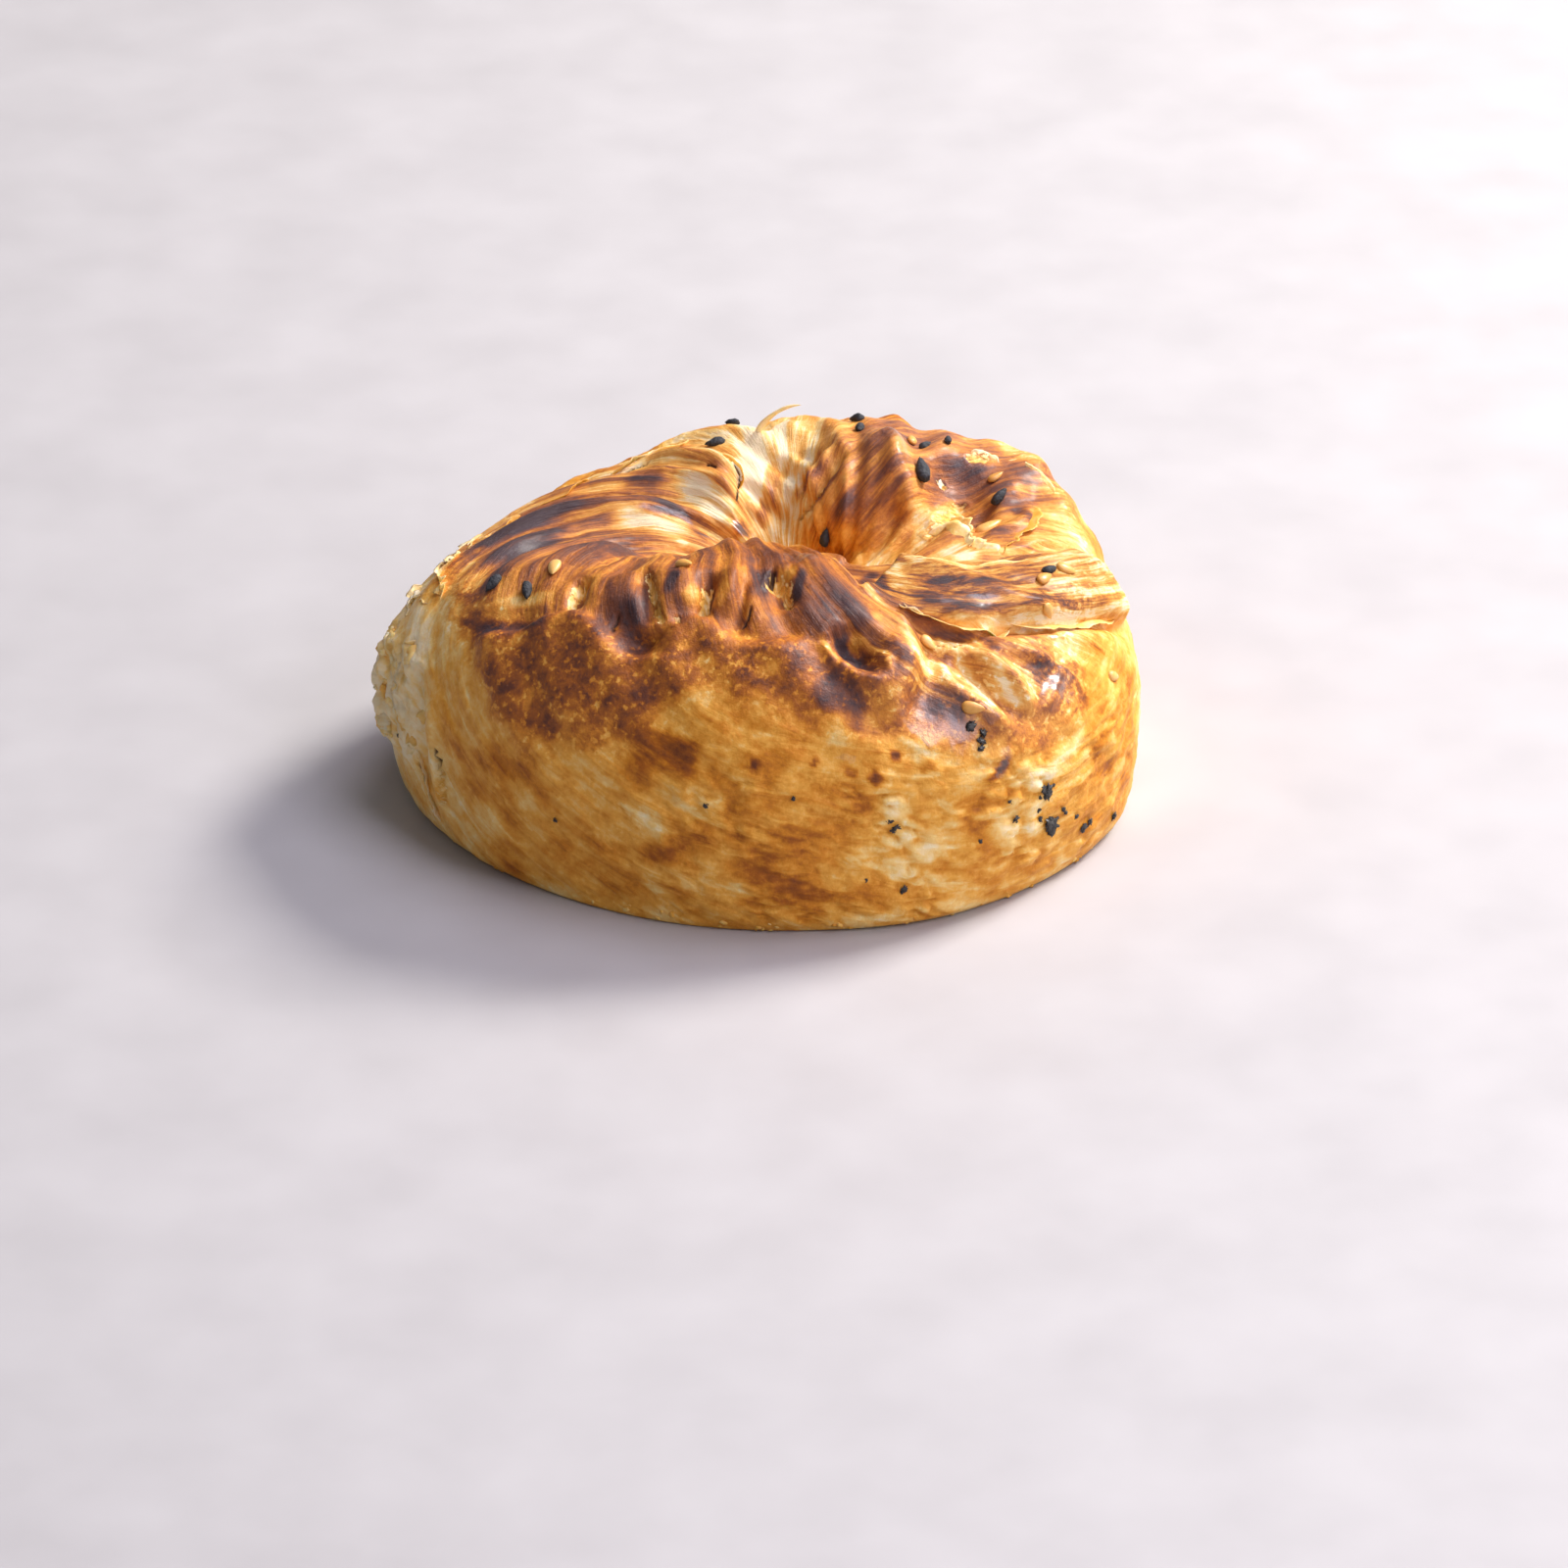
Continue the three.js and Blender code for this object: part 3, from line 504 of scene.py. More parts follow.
# Darker strokes, and lighter ones below 0, with their half widths in mm.
STROKES = [
    # the left lobe: long dark streaks, and gold and cream between them
    stroke(0.34, 1.7, 190, 2.42, 186.6, 2.29, 184.2, 2.19, 180, 2.11, 172.2, 1.99),
    stroke(0.34, 1.0, 181.3, 2.36, 176.6, 2.29, 173.3, 2.22, 169.8, 2.14, 166.3, 1.99),
    stroke(0.32, 0.9, 180.2, 2.12, 174.5, 2.06, 169.6, 2.0, 165.2, 1.91, 161.8, 1.83),
    stroke(0.3, 0.8, 175, 2.22, 170.2, 2.16, 165.5, 2.08, 160, 2.0),
    stroke(0.3, 1.5, 196, 2.46, 197, 2.34, 194, 2.24),
    stroke(0.2, 2.6, 196, 2.36, 188, 2.22, 178, 2.1, 168, 2.05),
    stroke(0.36, 1.7, 141.5, 2.12, 141.8, 2.04, 140.8, 2.0, 142.8, 1.89),
    stroke(0.26, 1.3, 145.8, 1.95, 149.2, 1.79, 148.5, 1.67),
    stroke(0.5, 0.55, 159.5, 1.86, 156.6, 1.78, 152.5, 1.71, 149, 1.65, 149, 1.55),
    stroke(-0.42, 1.9, 167.3, 1.91, 163.2, 1.82, 161, 1.71, 158.9, 1.61, 156.6, 1.51),
    stroke(-0.2, 1.1, 168.6, 2.2, 162, 2.18, 158, 2.1, 157.5, 1.99, 156.7, 1.86),
    stroke(-0.3, 0.8, 179.4, 2.33, 177.4, 2.27),
    stroke(-0.42, 2.0, 136.8, 1.93, 135.2, 1.76, 135.6, 1.61, 135.9, 1.48),
    stroke(-0.16, 3.0, 134, 1.98, 133.5, 1.86, 134, 1.72),
    stroke(-0.12, 2.0, 156, 2.16, 150, 2.1, 146, 2.04),
    stroke(0.22, 0.6, 149.5, 1.64, 151.4, 1.52, 150.8, 1.44),
    stroke(-0.3, 0.7, 162.8, 1.56, 162.6, 1.48),
    stroke(-0.35, 1.5, 150, 2.3, 136.5, 2.25, 132.6, 2.22, 124, 2.32, 118.5, 2.31),
    stroke(-0.28, 1.2, 204.2, 2.43, 205.2, 2.34, 208.3, 2.3, 212.8, 2.26),
    stroke(0.26, 1.5, 198.8, 2.48, 204, 2.49, 209.5, 2.53),
    stroke(0.3, 1.0, 204.8, 2.52, 207.7, 2.46, 214.1, 2.41, 219, 2.36),
    stroke(-0.16, 2.6, 187, 2.52, 190, 2.6, 195, 2.7, 197, 2.8),
    # the fold between the left and back lobes, and the pale wall's dark folds
    stroke(0.6, 1.2, 131.4, 1.5, 130.6, 1.43, 132.2, 1.37),
    stroke(0.42, 0.9, 100, 1.96, 104.2, 1.77, 109.7, 1.59, 117, 1.39),
    stroke(0.36, 0.7, 94, 1.99, 99, 1.8, 104, 1.6, 106.3, 1.42),
    stroke(-0.22, 2.4, 102.5, 2.14, 107.8, 2.0, 114.4, 1.73, 119.5, 1.48),
    # the back lobe's face and ridge
    stroke(0.34, 0.6, 71.6, 1.77, 76.4, 1.64, 85, 1.56, 93.8, 1.48),
    stroke(0.34, 0.6, 80, 1.94, 86, 1.77, 92, 1.62, 98, 1.5),
    stroke(0.3, 0.6, 61.1, 1.7, 65.5, 1.53, 75, 1.38),
    stroke(0.2, 2.4, 60, 1.46, 46, 1.43, 36, 1.43, 24, 1.5),
    stroke(-0.14, 1.6, 65.8, 1.6, 51.8, 1.54, 39, 1.6),
    stroke(-0.1, 1.8, 57.1, 1.26, 38.6, 1.23, 29.5, 1.34),
    # painted highlight: a paler stroke along the back lobe's ridge, which the shiny mark also gives
    # real gloss
    stroke(-0.16, 1.0, 58, 2.08, 45.6, 1.93, 38, 1.86, 31.9, 1.8, 20, 1.64),
    # the hollow behind the tongue: burnt layers, pale torn ones, and the outer rim
    stroke(0.22, 1.0, 30.5, 1.98, 32.5, 2.06, 30.2, 2.11, 26.1, 2.15),
    stroke(0.24, 0.9, 35, 2.07, 32.3, 2.13, 28.4, 2.18),
    stroke(0.26, 1.0, 33.9, 2.0, 29.8, 1.99, 26.3, 1.97),
    stroke(-0.36, 1.6, 8.8, 1.65, 16.7, 1.87, 20.3, 2.03),
    stroke(-0.36, 1.8, 358, 1.66, 350, 1.78, 342, 1.9, 337, 2.0),
    stroke(-0.28, 1.2, 24, 1.72, 14, 1.64, 4, 1.56, 354, 1.5),
    stroke(0.32, 0.8, 13.5, 2.13, 8, 2.15, 3.2, 2.18),
    stroke(0.16, 1.4, 4, 1.96, 357, 2.03, 352, 2.12),
    stroke(0.22, 1.6, 27, 2.16, 18, 2.14, 13.7, 2.15, 9.4, 2.2),
    stroke(0.14, 1.6, 42.8, 2.26, 37, 2.3, 22.3, 2.28, 15.2, 2.3),
    # the tongue: painted shade in the gap beside its end, a gold end, a pale upper edge, dark
    # streaks, and a pale lower edge
    # painted shade: the dark gap beside the tongue's end
    stroke(0.4, 1.0, 303, 1.9, 299.4, 1.96, 296.4, 2.05, 295, 2.14, taper=0.15),
    stroke(-0.3, 1.5, 304.5, 1.98, 301, 2.05, 299.2, 2.13, taper=0.15),
    stroke(-0.3, 0.8, 306.1, 1.99, 310.9, 2.05, 316.5, 2.1, 327, 2.13),
    stroke(0.3, 0.7, 304, 2.1, 310.2, 2.14, 318.3, 2.19, 331.2, 2.21),
    stroke(0.16, 0.5, 299, 2.16, 304, 2.17, 311.7, 2.21, 319.3, 2.27),
    stroke(0.32, 0.8, 297.8, 2.17, 304.8, 2.22, 310.8, 2.27, 317.2, 2.31),
    stroke(0.24, 1.3, 319.8, 2.31, 325, 2.33, 333, 2.38, 339.8, 2.43),
    stroke(-0.3, 0.8, 302.8, 2.26, 307.8, 2.3, 313, 2.33, 322, 2.36, 334, 2.45, 346, 2.57),
    # the front lobe
    stroke(0.2, 1.7, 229, 2.2, 231.2, 2.27, 235, 2.36, 238.5, 2.44),
    stroke(0.34, 0.9, 236.2, 2.1, 236.5, 2.17, 237.8, 2.23),
    stroke(-0.26, 1.0, 241.2, 2.23, 242.8, 2.2, 243.7, 2.15),
    stroke(-0.22, 1.1, 250.5, 2.13, 249.7, 2.19, 249.5, 2.25),
    stroke(0.3, 1.5, 255.6, 2.03, 258.5, 2.11, 258.2, 2.23),
    stroke(0.5, 0.6, 261.2, 2.05, 261.1, 2.11),
    stroke(-0.36, 1.4, 266.5, 2.04, 265.5, 2.08, 264, 2.12, 265, 2.17),
    stroke(0.4, 0.6, 270.8, 2.07, 269.5, 2.14, 268.7, 2.21),
    stroke(0.18, 3.0, 273, 2.12, 279.3, 2.2, 283.2, 2.27, 284.8, 2.32),
    stroke(0.2, 1.6, 289.2, 2.33, 290.2, 2.41, 289.8, 2.51),
    # painted shade: a dark stroke in the dent at the front lobe's right
    stroke(0.4, 1.3, 278.5, 2.31, 279.2, 2.35, 281.3, 2.4, 282.6, 2.45),
    stroke(-0.3, 0.6, 281.2, 2.31, 281.8, 2.35, 283, 2.4),
    stroke(-0.22, 0.5, 273.8, 2.32, 275, 2.36, 276, 2.4, 279.5, 2.44, 280.5, 2.48),
    stroke(-0.24, 0.9, 286, 2.26, 289.8, 2.26),
    stroke(-0.22, 0.9, 279.3, 1.86, 286, 2.03, 290, 2.16, 293.5, 2.26, 293.3, 2.43, 291, 2.55),
    # patches and blotches below the shoulder
    stroke(0.24, 2.7, 270.8, 2.53, 274.8, 2.54, 279, 2.53, 281.5, 2.51),
    stroke(0.34, 2.6, 238.5, 2.75, 246, 2.75, 250.8, 2.76, 254, 2.77),
    stroke(-0.16, 1.4, 249.5, 2.42, 252.3, 2.46, 253.3, 2.48),
    stroke(-0.16, 0.8, 259.8, 2.49, 263, 2.47, 266.5, 2.47),
    stroke(-0.2, 1.2, 225.2, 2.67, 228, 2.7, 231, 2.74),
    stroke(-0.14, 1.2, 212.2, 2.49, 217, 2.48),
    stroke(0.12, 1.4, 222, 2.87, 225.2, 2.95, 230, 2.98),
    stroke(0.12, 2.0, 238.5, 3.06, 245, 3.12, 251.7, 2.98, 264, 2.98),
    stroke(-0.12, 2.4, 252, 3.08, 257.3, 3.22, 262, 3.34),
    stroke(-0.12, 2.2, 272, 3.18, 278, 3.1, 284, 3.14),
    stroke(-0.12, 2.6, 288, 3.04, 291.2, 3.01, 296.2, 2.94),
    stroke(-0.1, 2.2, 210.5, 3.29, 214, 3.45, 219, 3.6),
    stroke(0.12, 1.8, 213, 2.9, 215.8, 2.98),
    stroke(-0.14, 2.0, 212.6, 3.2, 215.8, 3.16, 219, 3.15),
    stroke(-0.14, 1.6, 243.2, 2.94, 246, 2.97, 247.7, 2.97),
    stroke(0.45, 0.8, 284.5, 2.74, 287, 2.75),
    stroke(0.36, 0.8, 271.5, 2.75, 272.5, 2.76),
    stroke(0.3, 0.9, 261.2, 2.76, 263, 2.77),
    stroke(0.45, 1.0, 280.8, 2.83, 283, 2.79),
    stroke(0.26, 0.7, 276.5, 2.78, 279.5, 2.8),
    stroke(0.2, 0.7, 289, 2.8, 292.5, 2.78),
    # the skirt: brown between its ribs, painted shadow along the crevice under the tongue, the
    # blister's dark edge, shiny burnt spots
    stroke(-0.22, 0.35, 310, 2.33, 308.7, 2.42, 308.5, 2.5, 309, 2.58, 310.4, 2.68, taper=0.1),
    stroke(-0.2, 0.3, 306.5, 2.36, 307.2, 2.46, 308.4, 2.56, 309.6, 2.66, taper=0.1),
    stroke(-0.22, 0.35, 303.5, 2.3, 300.8, 2.38, 299.5, 2.45, 300.7, 2.56, taper=0.1),
    stroke(-0.2, 0.3, 304.8, 2.32, 303.4, 2.42, 303.6, 2.52, 305.4, 2.64, taper=0.1),
    stroke(-0.2, 0.35, 314.8, 2.36, 314.3, 2.42, 317.8, 2.49, taper=0.1),
    stroke(-0.2, 0.3, 319, 2.38, 320, 2.43, 323.5, 2.48, taper=0.1),
    stroke(-0.2, 0.5, 286.5, 2.68, 289.5, 2.72, 293, 2.77, taper=0.1),
    stroke(0.26, 3.2, 314.5, 2.6, 317.5, 2.62, 320, 2.67, taper=0.05),
    # painted shadow: the thin dark line in the crevice under the tongue's lower edge
    stroke(0.25, 0.9, 299, 2.26, 306, 2.33, 313, 2.355),
    stroke(0.2, 0.4, 311.6, 2.36, 310.6, 2.43, 310, 2.5, 310.6, 2.6, taper=0.1),
    stroke(0.2, 0.4, 305.4, 2.35, 305.2, 2.45, 306.4, 2.56, 307.6, 2.66, taper=0.1),
    stroke(0.24, 1.0, 300.6, 2.36, 301.5, 2.43, 302.2, 2.49),
    stroke(
        0.24, 0.5, 312, 2.6, 314, 2.53, 319.3, 2.54, 323.5, 2.6, 324.5, 2.68, 320.7, 2.75, 314, 2.75
    ),
    stroke(0.22, 2.4, 288.5, 2.68, 292.5, 2.64, 296.3, 2.62, 298.2, 2.67, 301, 2.66),
    stroke(0.16, 0.8, 302, 2.62, 304.2, 2.69),
    stroke(0.5, 0.6, 304.6, 2.78, 304.4, 2.83, 302, 2.86, 299.8, 2.87),
    stroke(0.1, 2.6, 326.3, 2.92, 328.2, 3.04, 325.2, 3.15),
    stroke(-0.14, 2.8, 314.3, 2.8, 319.7, 2.82, 325.6, 2.83),
    stroke(-0.12, 2.2, 302.2, 2.93, 305, 3.04, 303.2, 3.1),
    stroke(0.2, 0.8, 334.1, 2.69, 335.6, 2.76),
]


def mark(width, *path, taper=0.25):
    return on_path(path, width=width, taper=taper)


# Torn edges where pale inner dough shows.
TORN = [
    mark(0.55, 211.7, 2.14, 213.5, 2.19, 215.8, 2.26, 218, 2.31),
    mark(0.5, 226.8, 2.1, 229.4, 2.13, 233.5, 2.2, 236, 2.26),
    mark(0.6, 235.4, 2.24, 237.6, 2.28, 240.5, 2.33),
    mark(0.4, 241.5, 2.28, 243.5, 2.33),
    mark(0.6, 244.3, 2.12, 244.9, 2.17, 246, 2.22, 247.2, 2.28),
    mark(1.1, 263.4, 2.06, 262.4, 2.1, 262.2, 2.15),
    mark(0.5, 266, 2.1, 266.8, 2.17, 267.5, 2.25),
    mark(0.8, 8.8, 1.65, 14, 1.8, 18, 1.92, 21, 2.05),
    mark(0.7, 3, 1.58, 7.8, 1.71, 14, 1.9),
    mark(0.7, 34.4, 2.13, 31.8, 2.22),
    mark(0.6, 27.1, 1.96, 29.6, 2.02),
    mark(0.28, 299, 2.34, 303, 2.37, 307, 2.39),
    mark(0.28, 67, 1.53, 76, 1.45, 84, 1.4, 92.2, 1.36),
    mark(0.5, 136.5, 2.24, 128, 2.27, 119, 2.3),
    mark(0.35, 204.5, 2.99, 206, 3.1, 206.5, 3.3),
]
# Cracks and gaps, sunk into the crust and painted nearly black as painted shade inside them.
CRACKS = [
    mark(0.22, 139, 2.22, 135.6, 2.19, 133, 2.14),
    mark(0.24, 125.7, 1.93, 123.7, 1.85),
    mark(0.14, 120.8, 1.93, 117.4, 1.89, 117, 1.8, 121.8, 1.68, 127.5, 1.55),
    mark(0.18, 213.4, 2.14, 216, 2.2, 218.6, 2.27, 221, 2.33),
    mark(0.24, 228.8, 2.28, 229.6, 2.34, 230.3, 2.375),
    mark(0.3, 261.2, 2.045, 261, 2.11),
    mark(0.2, 246.6, 2.13, 247, 2.2, 248.4, 2.27),
    mark(0.2, 257.9, 2.22, 257.8, 2.28, 256.8, 2.32),
    mark(0.3, 301.8, 2.7, 300.4, 2.77),
    mark(0.26, 204, 2.97, 205, 3.02, 206.2, 3.1),
    mark(0.3, 198.3, 3.09, 200, 3.2, 201.6, 3.33),
]
# Glazed places that shine.
SHINY = [
    mark(0.6, 159.5, 1.86, 156.6, 1.78, 152.5, 1.71, 149, 1.65, 149, 1.55),
    mark(1.2, 131.4, 1.52, 130.6, 1.43, 132.2, 1.35),
    mark(4.2, 288.5, 2.68, 292.5, 2.63, 296.3, 2.61, 298.2, 2.65, 302, 2.63, taper=0.1),
    mark(1.0, 302, 2.6, 304.2, 2.69),
    mark(1.9, 312.5, 2.58, 317, 2.58, 321, 2.64, 320, 2.7, taper=0.1),
    mark(0.5, 325.5, 2.41, 326.7, 2.48),
    mark(0.5, 331.8, 2.44, 331.8, 2.51),
    mark(0.8, 304.6, 2.76, 304.4, 2.83, 302, 2.87),
    mark(0.9, 60, 2.1, 45.6, 1.92, 38, 1.85, 31.9, 1.8),
    mark(0.5, 274.8, 2.74, 277.5, 2.74, 279.2, 2.76),
    mark(1.4, 262, 1.94, 269.3, 2.01, 276, 2.05),
    mark(0.8, 304.8, 2.2, 312, 2.24, 320, 2.29),
]
# The ruffled pocket on the front lobe's right.
POCKET = mark(2.6, 274, 2.3, 281, 2.38, 289, 2.46, taper=0.2)
# The blistered place on the skirt, and the tongue's far end, where the glaze is crazed.
CRAZED = [
    mark(5.0, 314, 2.6, 317.5, 2.61, 321, 2.65, 318, 2.7, taper=0.02),
    mark(2.6, 325, 2.33, 333, 2.38, 341, 2.43, taper=0.1),
]


def strongest(marks, points, normals):
    """How near each point is to any of the marks: 1 on one, 0.5 at its width's edge."""
    found = np.zeros(len(points))
    for one in marks:
        index, distance, along, _ = near_path(one["path"], points, normals, 2 * one["width"])
        near = (1 - distance / (2 * one["width"])) * taper_of(along, one["taper"]) ** 0.5
        found[index] = np.maximum(found[index], near)
    return found


def ragged_ring(points, ring, amount, octaves):
    """The ring number with noise added, for edges that aren't straight."""
    return ring + amount * noise_at(points * 0.3 + 5, octaves)


def paint(points, normals, azimuth, ring):
    """The crust's browning from 0, pale crumb, to 1, nearly burnt, with some painted shade and a
    painted highlight in it.
    """
    ragged = ragged_ring(points, ring, 0.045, 4)
    edge = around(BROWN_EDGE, azimuth)
    crest = around(CREST_TONE, azimuth)
    shoulder = around(SHOULDER_TONE, azimuth)
    tone = crest + (shoulder - crest) * smoothstep(ragged, 2.22, 2.38)
    tone += (around(SIDE_TONE_AND_SHADE, azimuth) - tone) * smoothstep(ragged, edge - 0.03, edge + 0.09)
    tone += (around(DIMPLE_TONE, azimuth) - tone) * (1 - smoothstep(ragged, 1.2, 1.9))
    tone -= 0.12 * smoothstep(ragged, 3.3, 3.8)
    for one in STROKES:
        index, distance, along, _ = near_path(one["path"], points, normals, 3 * one["width"])
        strength = one["tone"] * taper_of(along, one["taper"])
        tone[index] += strength * np.exp(-((distance / one["width"]) ** STROKE_POWER))
    return tone


# The torn crumb on the left: its azimuth, the cosines from there where it starts and is
# whole, and the rings where it starts, is whole, fades and ends.
CRUMB_AZIMUTH, CRUMB_SIDES, CRUMB_RINGS = 189.5, (0.982, 0.994), (2.66, 2.76, 3.1, 3.3)
# Heights of the finest folds, in mm.
STREAK_HEIGHT, FINE_STREAK_HEIGHT, WRINKLE_HEIGHT = 0.42, 0.16, 0.26
DOUGH_HEIGHT, LUMP_HEIGHT, PUCKER_HEIGHT, RUFFLE_HEIGHT = 0.2, 0.9, 0.75, 0.55
TORN_DEPTH, TORN_LIP, CRACK_DEPTH = 0.55, 0.22, 0.7


def make_crust():
    """The crust, and how far it was moved to bring its middle over the origin."""
    columns, rings = crust_grid()
    azimuth = np.concatenate([[0.0], np.tile(columns, len(rings)), [0.0]])
    ring = np.concatenate([[0.0], np.repeat(rings, len(columns)), [5.0]])
    points = base_points(azimuth, ring)
    normals = base_normals(azimuth, ring)
    normals[0] = (0, 0, 1)
    normals[-1] = (0, 0, -1)
    flow = flow_coordinates(azimuth, ring)
    wrinkle_flow = wrinkle_coordinates(azimuth, points)
    tongue, tongue_flow = tongue_coordinates(points, normals)
    ragged = ragged_ring(points, ring, 0.03, 3)
    edge = around(BROWN_EDGE, azimuth)
    side = smoothstep(ragged, edge - 0.05, edge + 0.15)
    streak_end = around(STREAK_END, azimuth)
    streaked = around(STREAKED, azimuth)
    streaked *= 1 - smoothstep(ragged, streak_end - 0.06, streak_end + 0.06)
    streaked *= (1 - tongue) * (0.7 + 0.3 * smoothstep(ring, 1.2, 1.8))
    crumb = smoothstep(np.cos(np.radians(azimuth - CRUMB_AZIMUTH)), *CRUMB_SIDES)
    crumb *= window(ragged, *CRUMB_RINGS)
    torn = strongest(TORN, points, normals)
    cracks = strongest(CRACKS, points, normals)

    streaks = noise_at(flow * [1.1, 1.1, 1.0], 3)
    fine_streaks = noise_at(flow * [2.6, 2.6, 1.6] + 31, 2)
    wrinkles = noise_at(wrinkle_flow + 3, 3)
    dough = noise_at(points * 0.16 + 7, 3)
    lumps = 1 - 2 * np.abs(noise_at(points * 0.26 + 3, 3))
    folds = puckers(azimuth, ring, points, wrinkle_flow, side)
    ruffles = 1 - 2.4 * np.abs(noise_at(points * 0.42 + 11, 2))
    extra = (STREAK_HEIGHT * streaks + FINE_STREAK_HEIGHT * fine_streaks) * streaked
    extra += WRINKLE_HEIGHT * wrinkles * side + DOUGH_HEIGHT * dough + LUMP_HEIGHT * lumps * crumb
    pocket = strongest([POCKET], points, normals)
    extra += PUCKER_HEIGHT * folds + RUFFLE_HEIGHT * ruffles * pocket
    extra -= TORN_DEPTH * smoothstep(torn, 0.3, 0.8) + CRACK_DEPTH * smoothstep(cracks, 0.3, 0.9)
    extra += TORN_LIP * smoothstep(torn, 0.05, 0.25) * (1 - smoothstep(torn, 0.3, 0.5))
    vertices = lifted(azimuth, ring, extra)
    middle = (vertices.max(0) + vertices.min(0)) / 2
    vertices[:, :2] -= middle[:2]

    # its rings run outwards and down, so each face is turned over
    faces = [(face[0], *face[:0:-1]) for face in capped_faces(len(columns), len(rings))]
    piece = mesh_object("crust", vertices * MM, faces)
    attributes = {
        "tone": paint(points, normals, azimuth, ring),
        "flow": flow,
        "wrinkle_flow": wrinkle_flow,
        "tongue_flow": tongue_flow,
        "tongue": tongue,
        "streaked": streaked,
        "speckled": smoothstep(ragged, 2.3, 2.4) * (1 - side),
        "side": side,
        "crumb": crumb,
        "torn": torn,
        "cracks": cracks,
        "shiny": strongest(SHINY, points, normals),
        "crazed": smoothstep(strongest(CRAZED, points, normals), 0.4, 0.6),
        "glazed": around(GLAZED, azimuth) * (1 - side) * smoothstep(ring, 1.1, 1.6),
        # the folds also give painted shade in the creases and a painted highlight on the folds, in
        # the shader
        "folds": folds,
    }
    for name, values in attributes.items():
        set_attribute(piece, name, values)
    return piece, middle


# ---------------------------------------------------------------- node materials
class Graph:
    """Short calls for building one material's nodes."""

    def __init__(self, name):
        self.material = bpy.data.materials.new(name)
        self.material.use_nodes = True
        self.tree = self.material.node_tree
        self.tree.nodes.clear()
        self.shader = self.tree.nodes.new("ShaderNodeBsdfPrincipled")
        output = self.tree.nodes.new("ShaderNodeOutputMaterial")
        self.tree.links.new(self.shader.outputs[0], output.inputs[0])
        self.place = self.node("ShaderNodeTexCoord").outputs["Object"]

    def node(self, kind, inputs=None, **settings):
        made = self.tree.nodes.new(kind)
        for key, value in settings.items():
            setattr(made, key, value)
        for key, value in (inputs or {}).items():
            self.put(made.inputs[key], value)
        return made

    def put(self, socket, value):
        if isinstance(value, bpy.types.NodeSocket):
            self.tree.links.new(value, socket)
        else:
            socket.default_value = value

    def finished(self, inputs):
        """The material, once its shader has these inputs, each constant on its own socket."""
        for name, value in inputs.items():
            self.put(self.shader.inputs[name], value)
        return self.material

    def attribute(self, name, output="Fac"):
        return self.node("ShaderNodeAttribute", attribute_name=name).outputs[output]

    def math(self, operation, a, b=0.0):
        return self.node("ShaderNodeMath", {0: a, 1: b}, operation=operation).outputs[0]

    def times(self, a, b):
        return self.math("MULTIPLY", a, b)

    def less(self, a, b):
        return self.math("SUBTRACT", a, b)

    def add(self, value, centred, amount):
        """A value plus an amount of a pattern that is 0.5 on average."""
        return self.math("ADD", value, self.times(self.less(centred, 0.5), amount))

    def noise(self, scale, detail=3.0, roughness=0.6, distortion=0.0, at=None):
        names = ("Vector", "Scale", "Detail", "Roughness", "Distortion")
        values = (at or self.place, scale, detail, roughness, distortion)
        return self.node("ShaderNodeTexNoise", dict(zip(names, values))).outputs["Fac"]

    def mix(self, factor, a, b):
        return self.node("ShaderNodeMix", {"Factor": factor, "A": a, "B": b}).outputs["Result"]

    def mix_color(self, factor, a, b):
        made = self.node("ShaderNodeMix", data_type="RGBA")
        self.put(made.inputs["Factor"], factor)
        for key, value in (("A", a), ("B", b)):
            socket = [s for s in made.inputs if s.name == key and s.type == "RGBA"][0]
            self.put(socket, value)
        return [s for s in made.outputs if s.type == "RGBA"][0]

    def ramp(self, factor, stops):
        made = self.node("ShaderNodeValToRGB", {"Fac": factor})
        while len(made.color_ramp.elements) < len(stops):
            made.color_ramp.elements.new(0.5)
        for element, (position, color) in zip(made.color_ramp.elements, stops):
            element.position = position
            element.color = (*color, 1.0)
        return made.outputs["Color"]

    def map_range(self, value, low, high, to_low=0.0, to_high=1.0, kind="SMOOTHSTEP"):
        names = ("Value", "From Min", "From Max", "To Min", "To Max")
        inputs = dict(zip(names, (value, low, high, to_low, to_high)))
        return self.node("ShaderNodeMapRange", inputs, interpolation_type=kind).outputs["Result"]

    def bump(self, height, strength, distance, normal=None):
        inputs = {"Height": height, "Strength": strength, "Distance": distance}
        if normal is not None:
            inputs["Normal"] = normal
        return self.node("ShaderNodeBump", inputs).outputs["Normal"]


# Linear colours of the crust from pale crumb to nearly burnt.
CRUST_RAMP = [
    (0.0, (0.92, 0.75, 0.47)),
    (0.15, (0.88, 0.58, 0.20)),
    (0.30, (0.80, 0.38, 0.060)),
    (0.45, (0.62, 0.225, 0.018)),
    (0.60, (0.37, 0.105, 0.009)),
    (0.78, (0.155, 0.042, 0.013)),
    (1.0, (0.045, 0.020, 0.020)),
]
# The frayed dough of a torn edge, from its browned rim to pale inside.
FRAYED_RAMP = [
    (0.38, (0.58, 0.20, 0.02)),
    (0.5, (0.86, 0.46, 0.09)),
    (0.62, (0.94, 0.70, 0.34)),
]
PAINTED_SHEEN_COLOR = (0.42, 0.35, 0.40, 1.0)  # painted sheen: lilac grey that stands in for the sky's reflection in the glaze
# painted shade inside the cracks and gaps
CRACK_SHADE_COLOR = (0.06, 0.022, 0.010, 1.0)


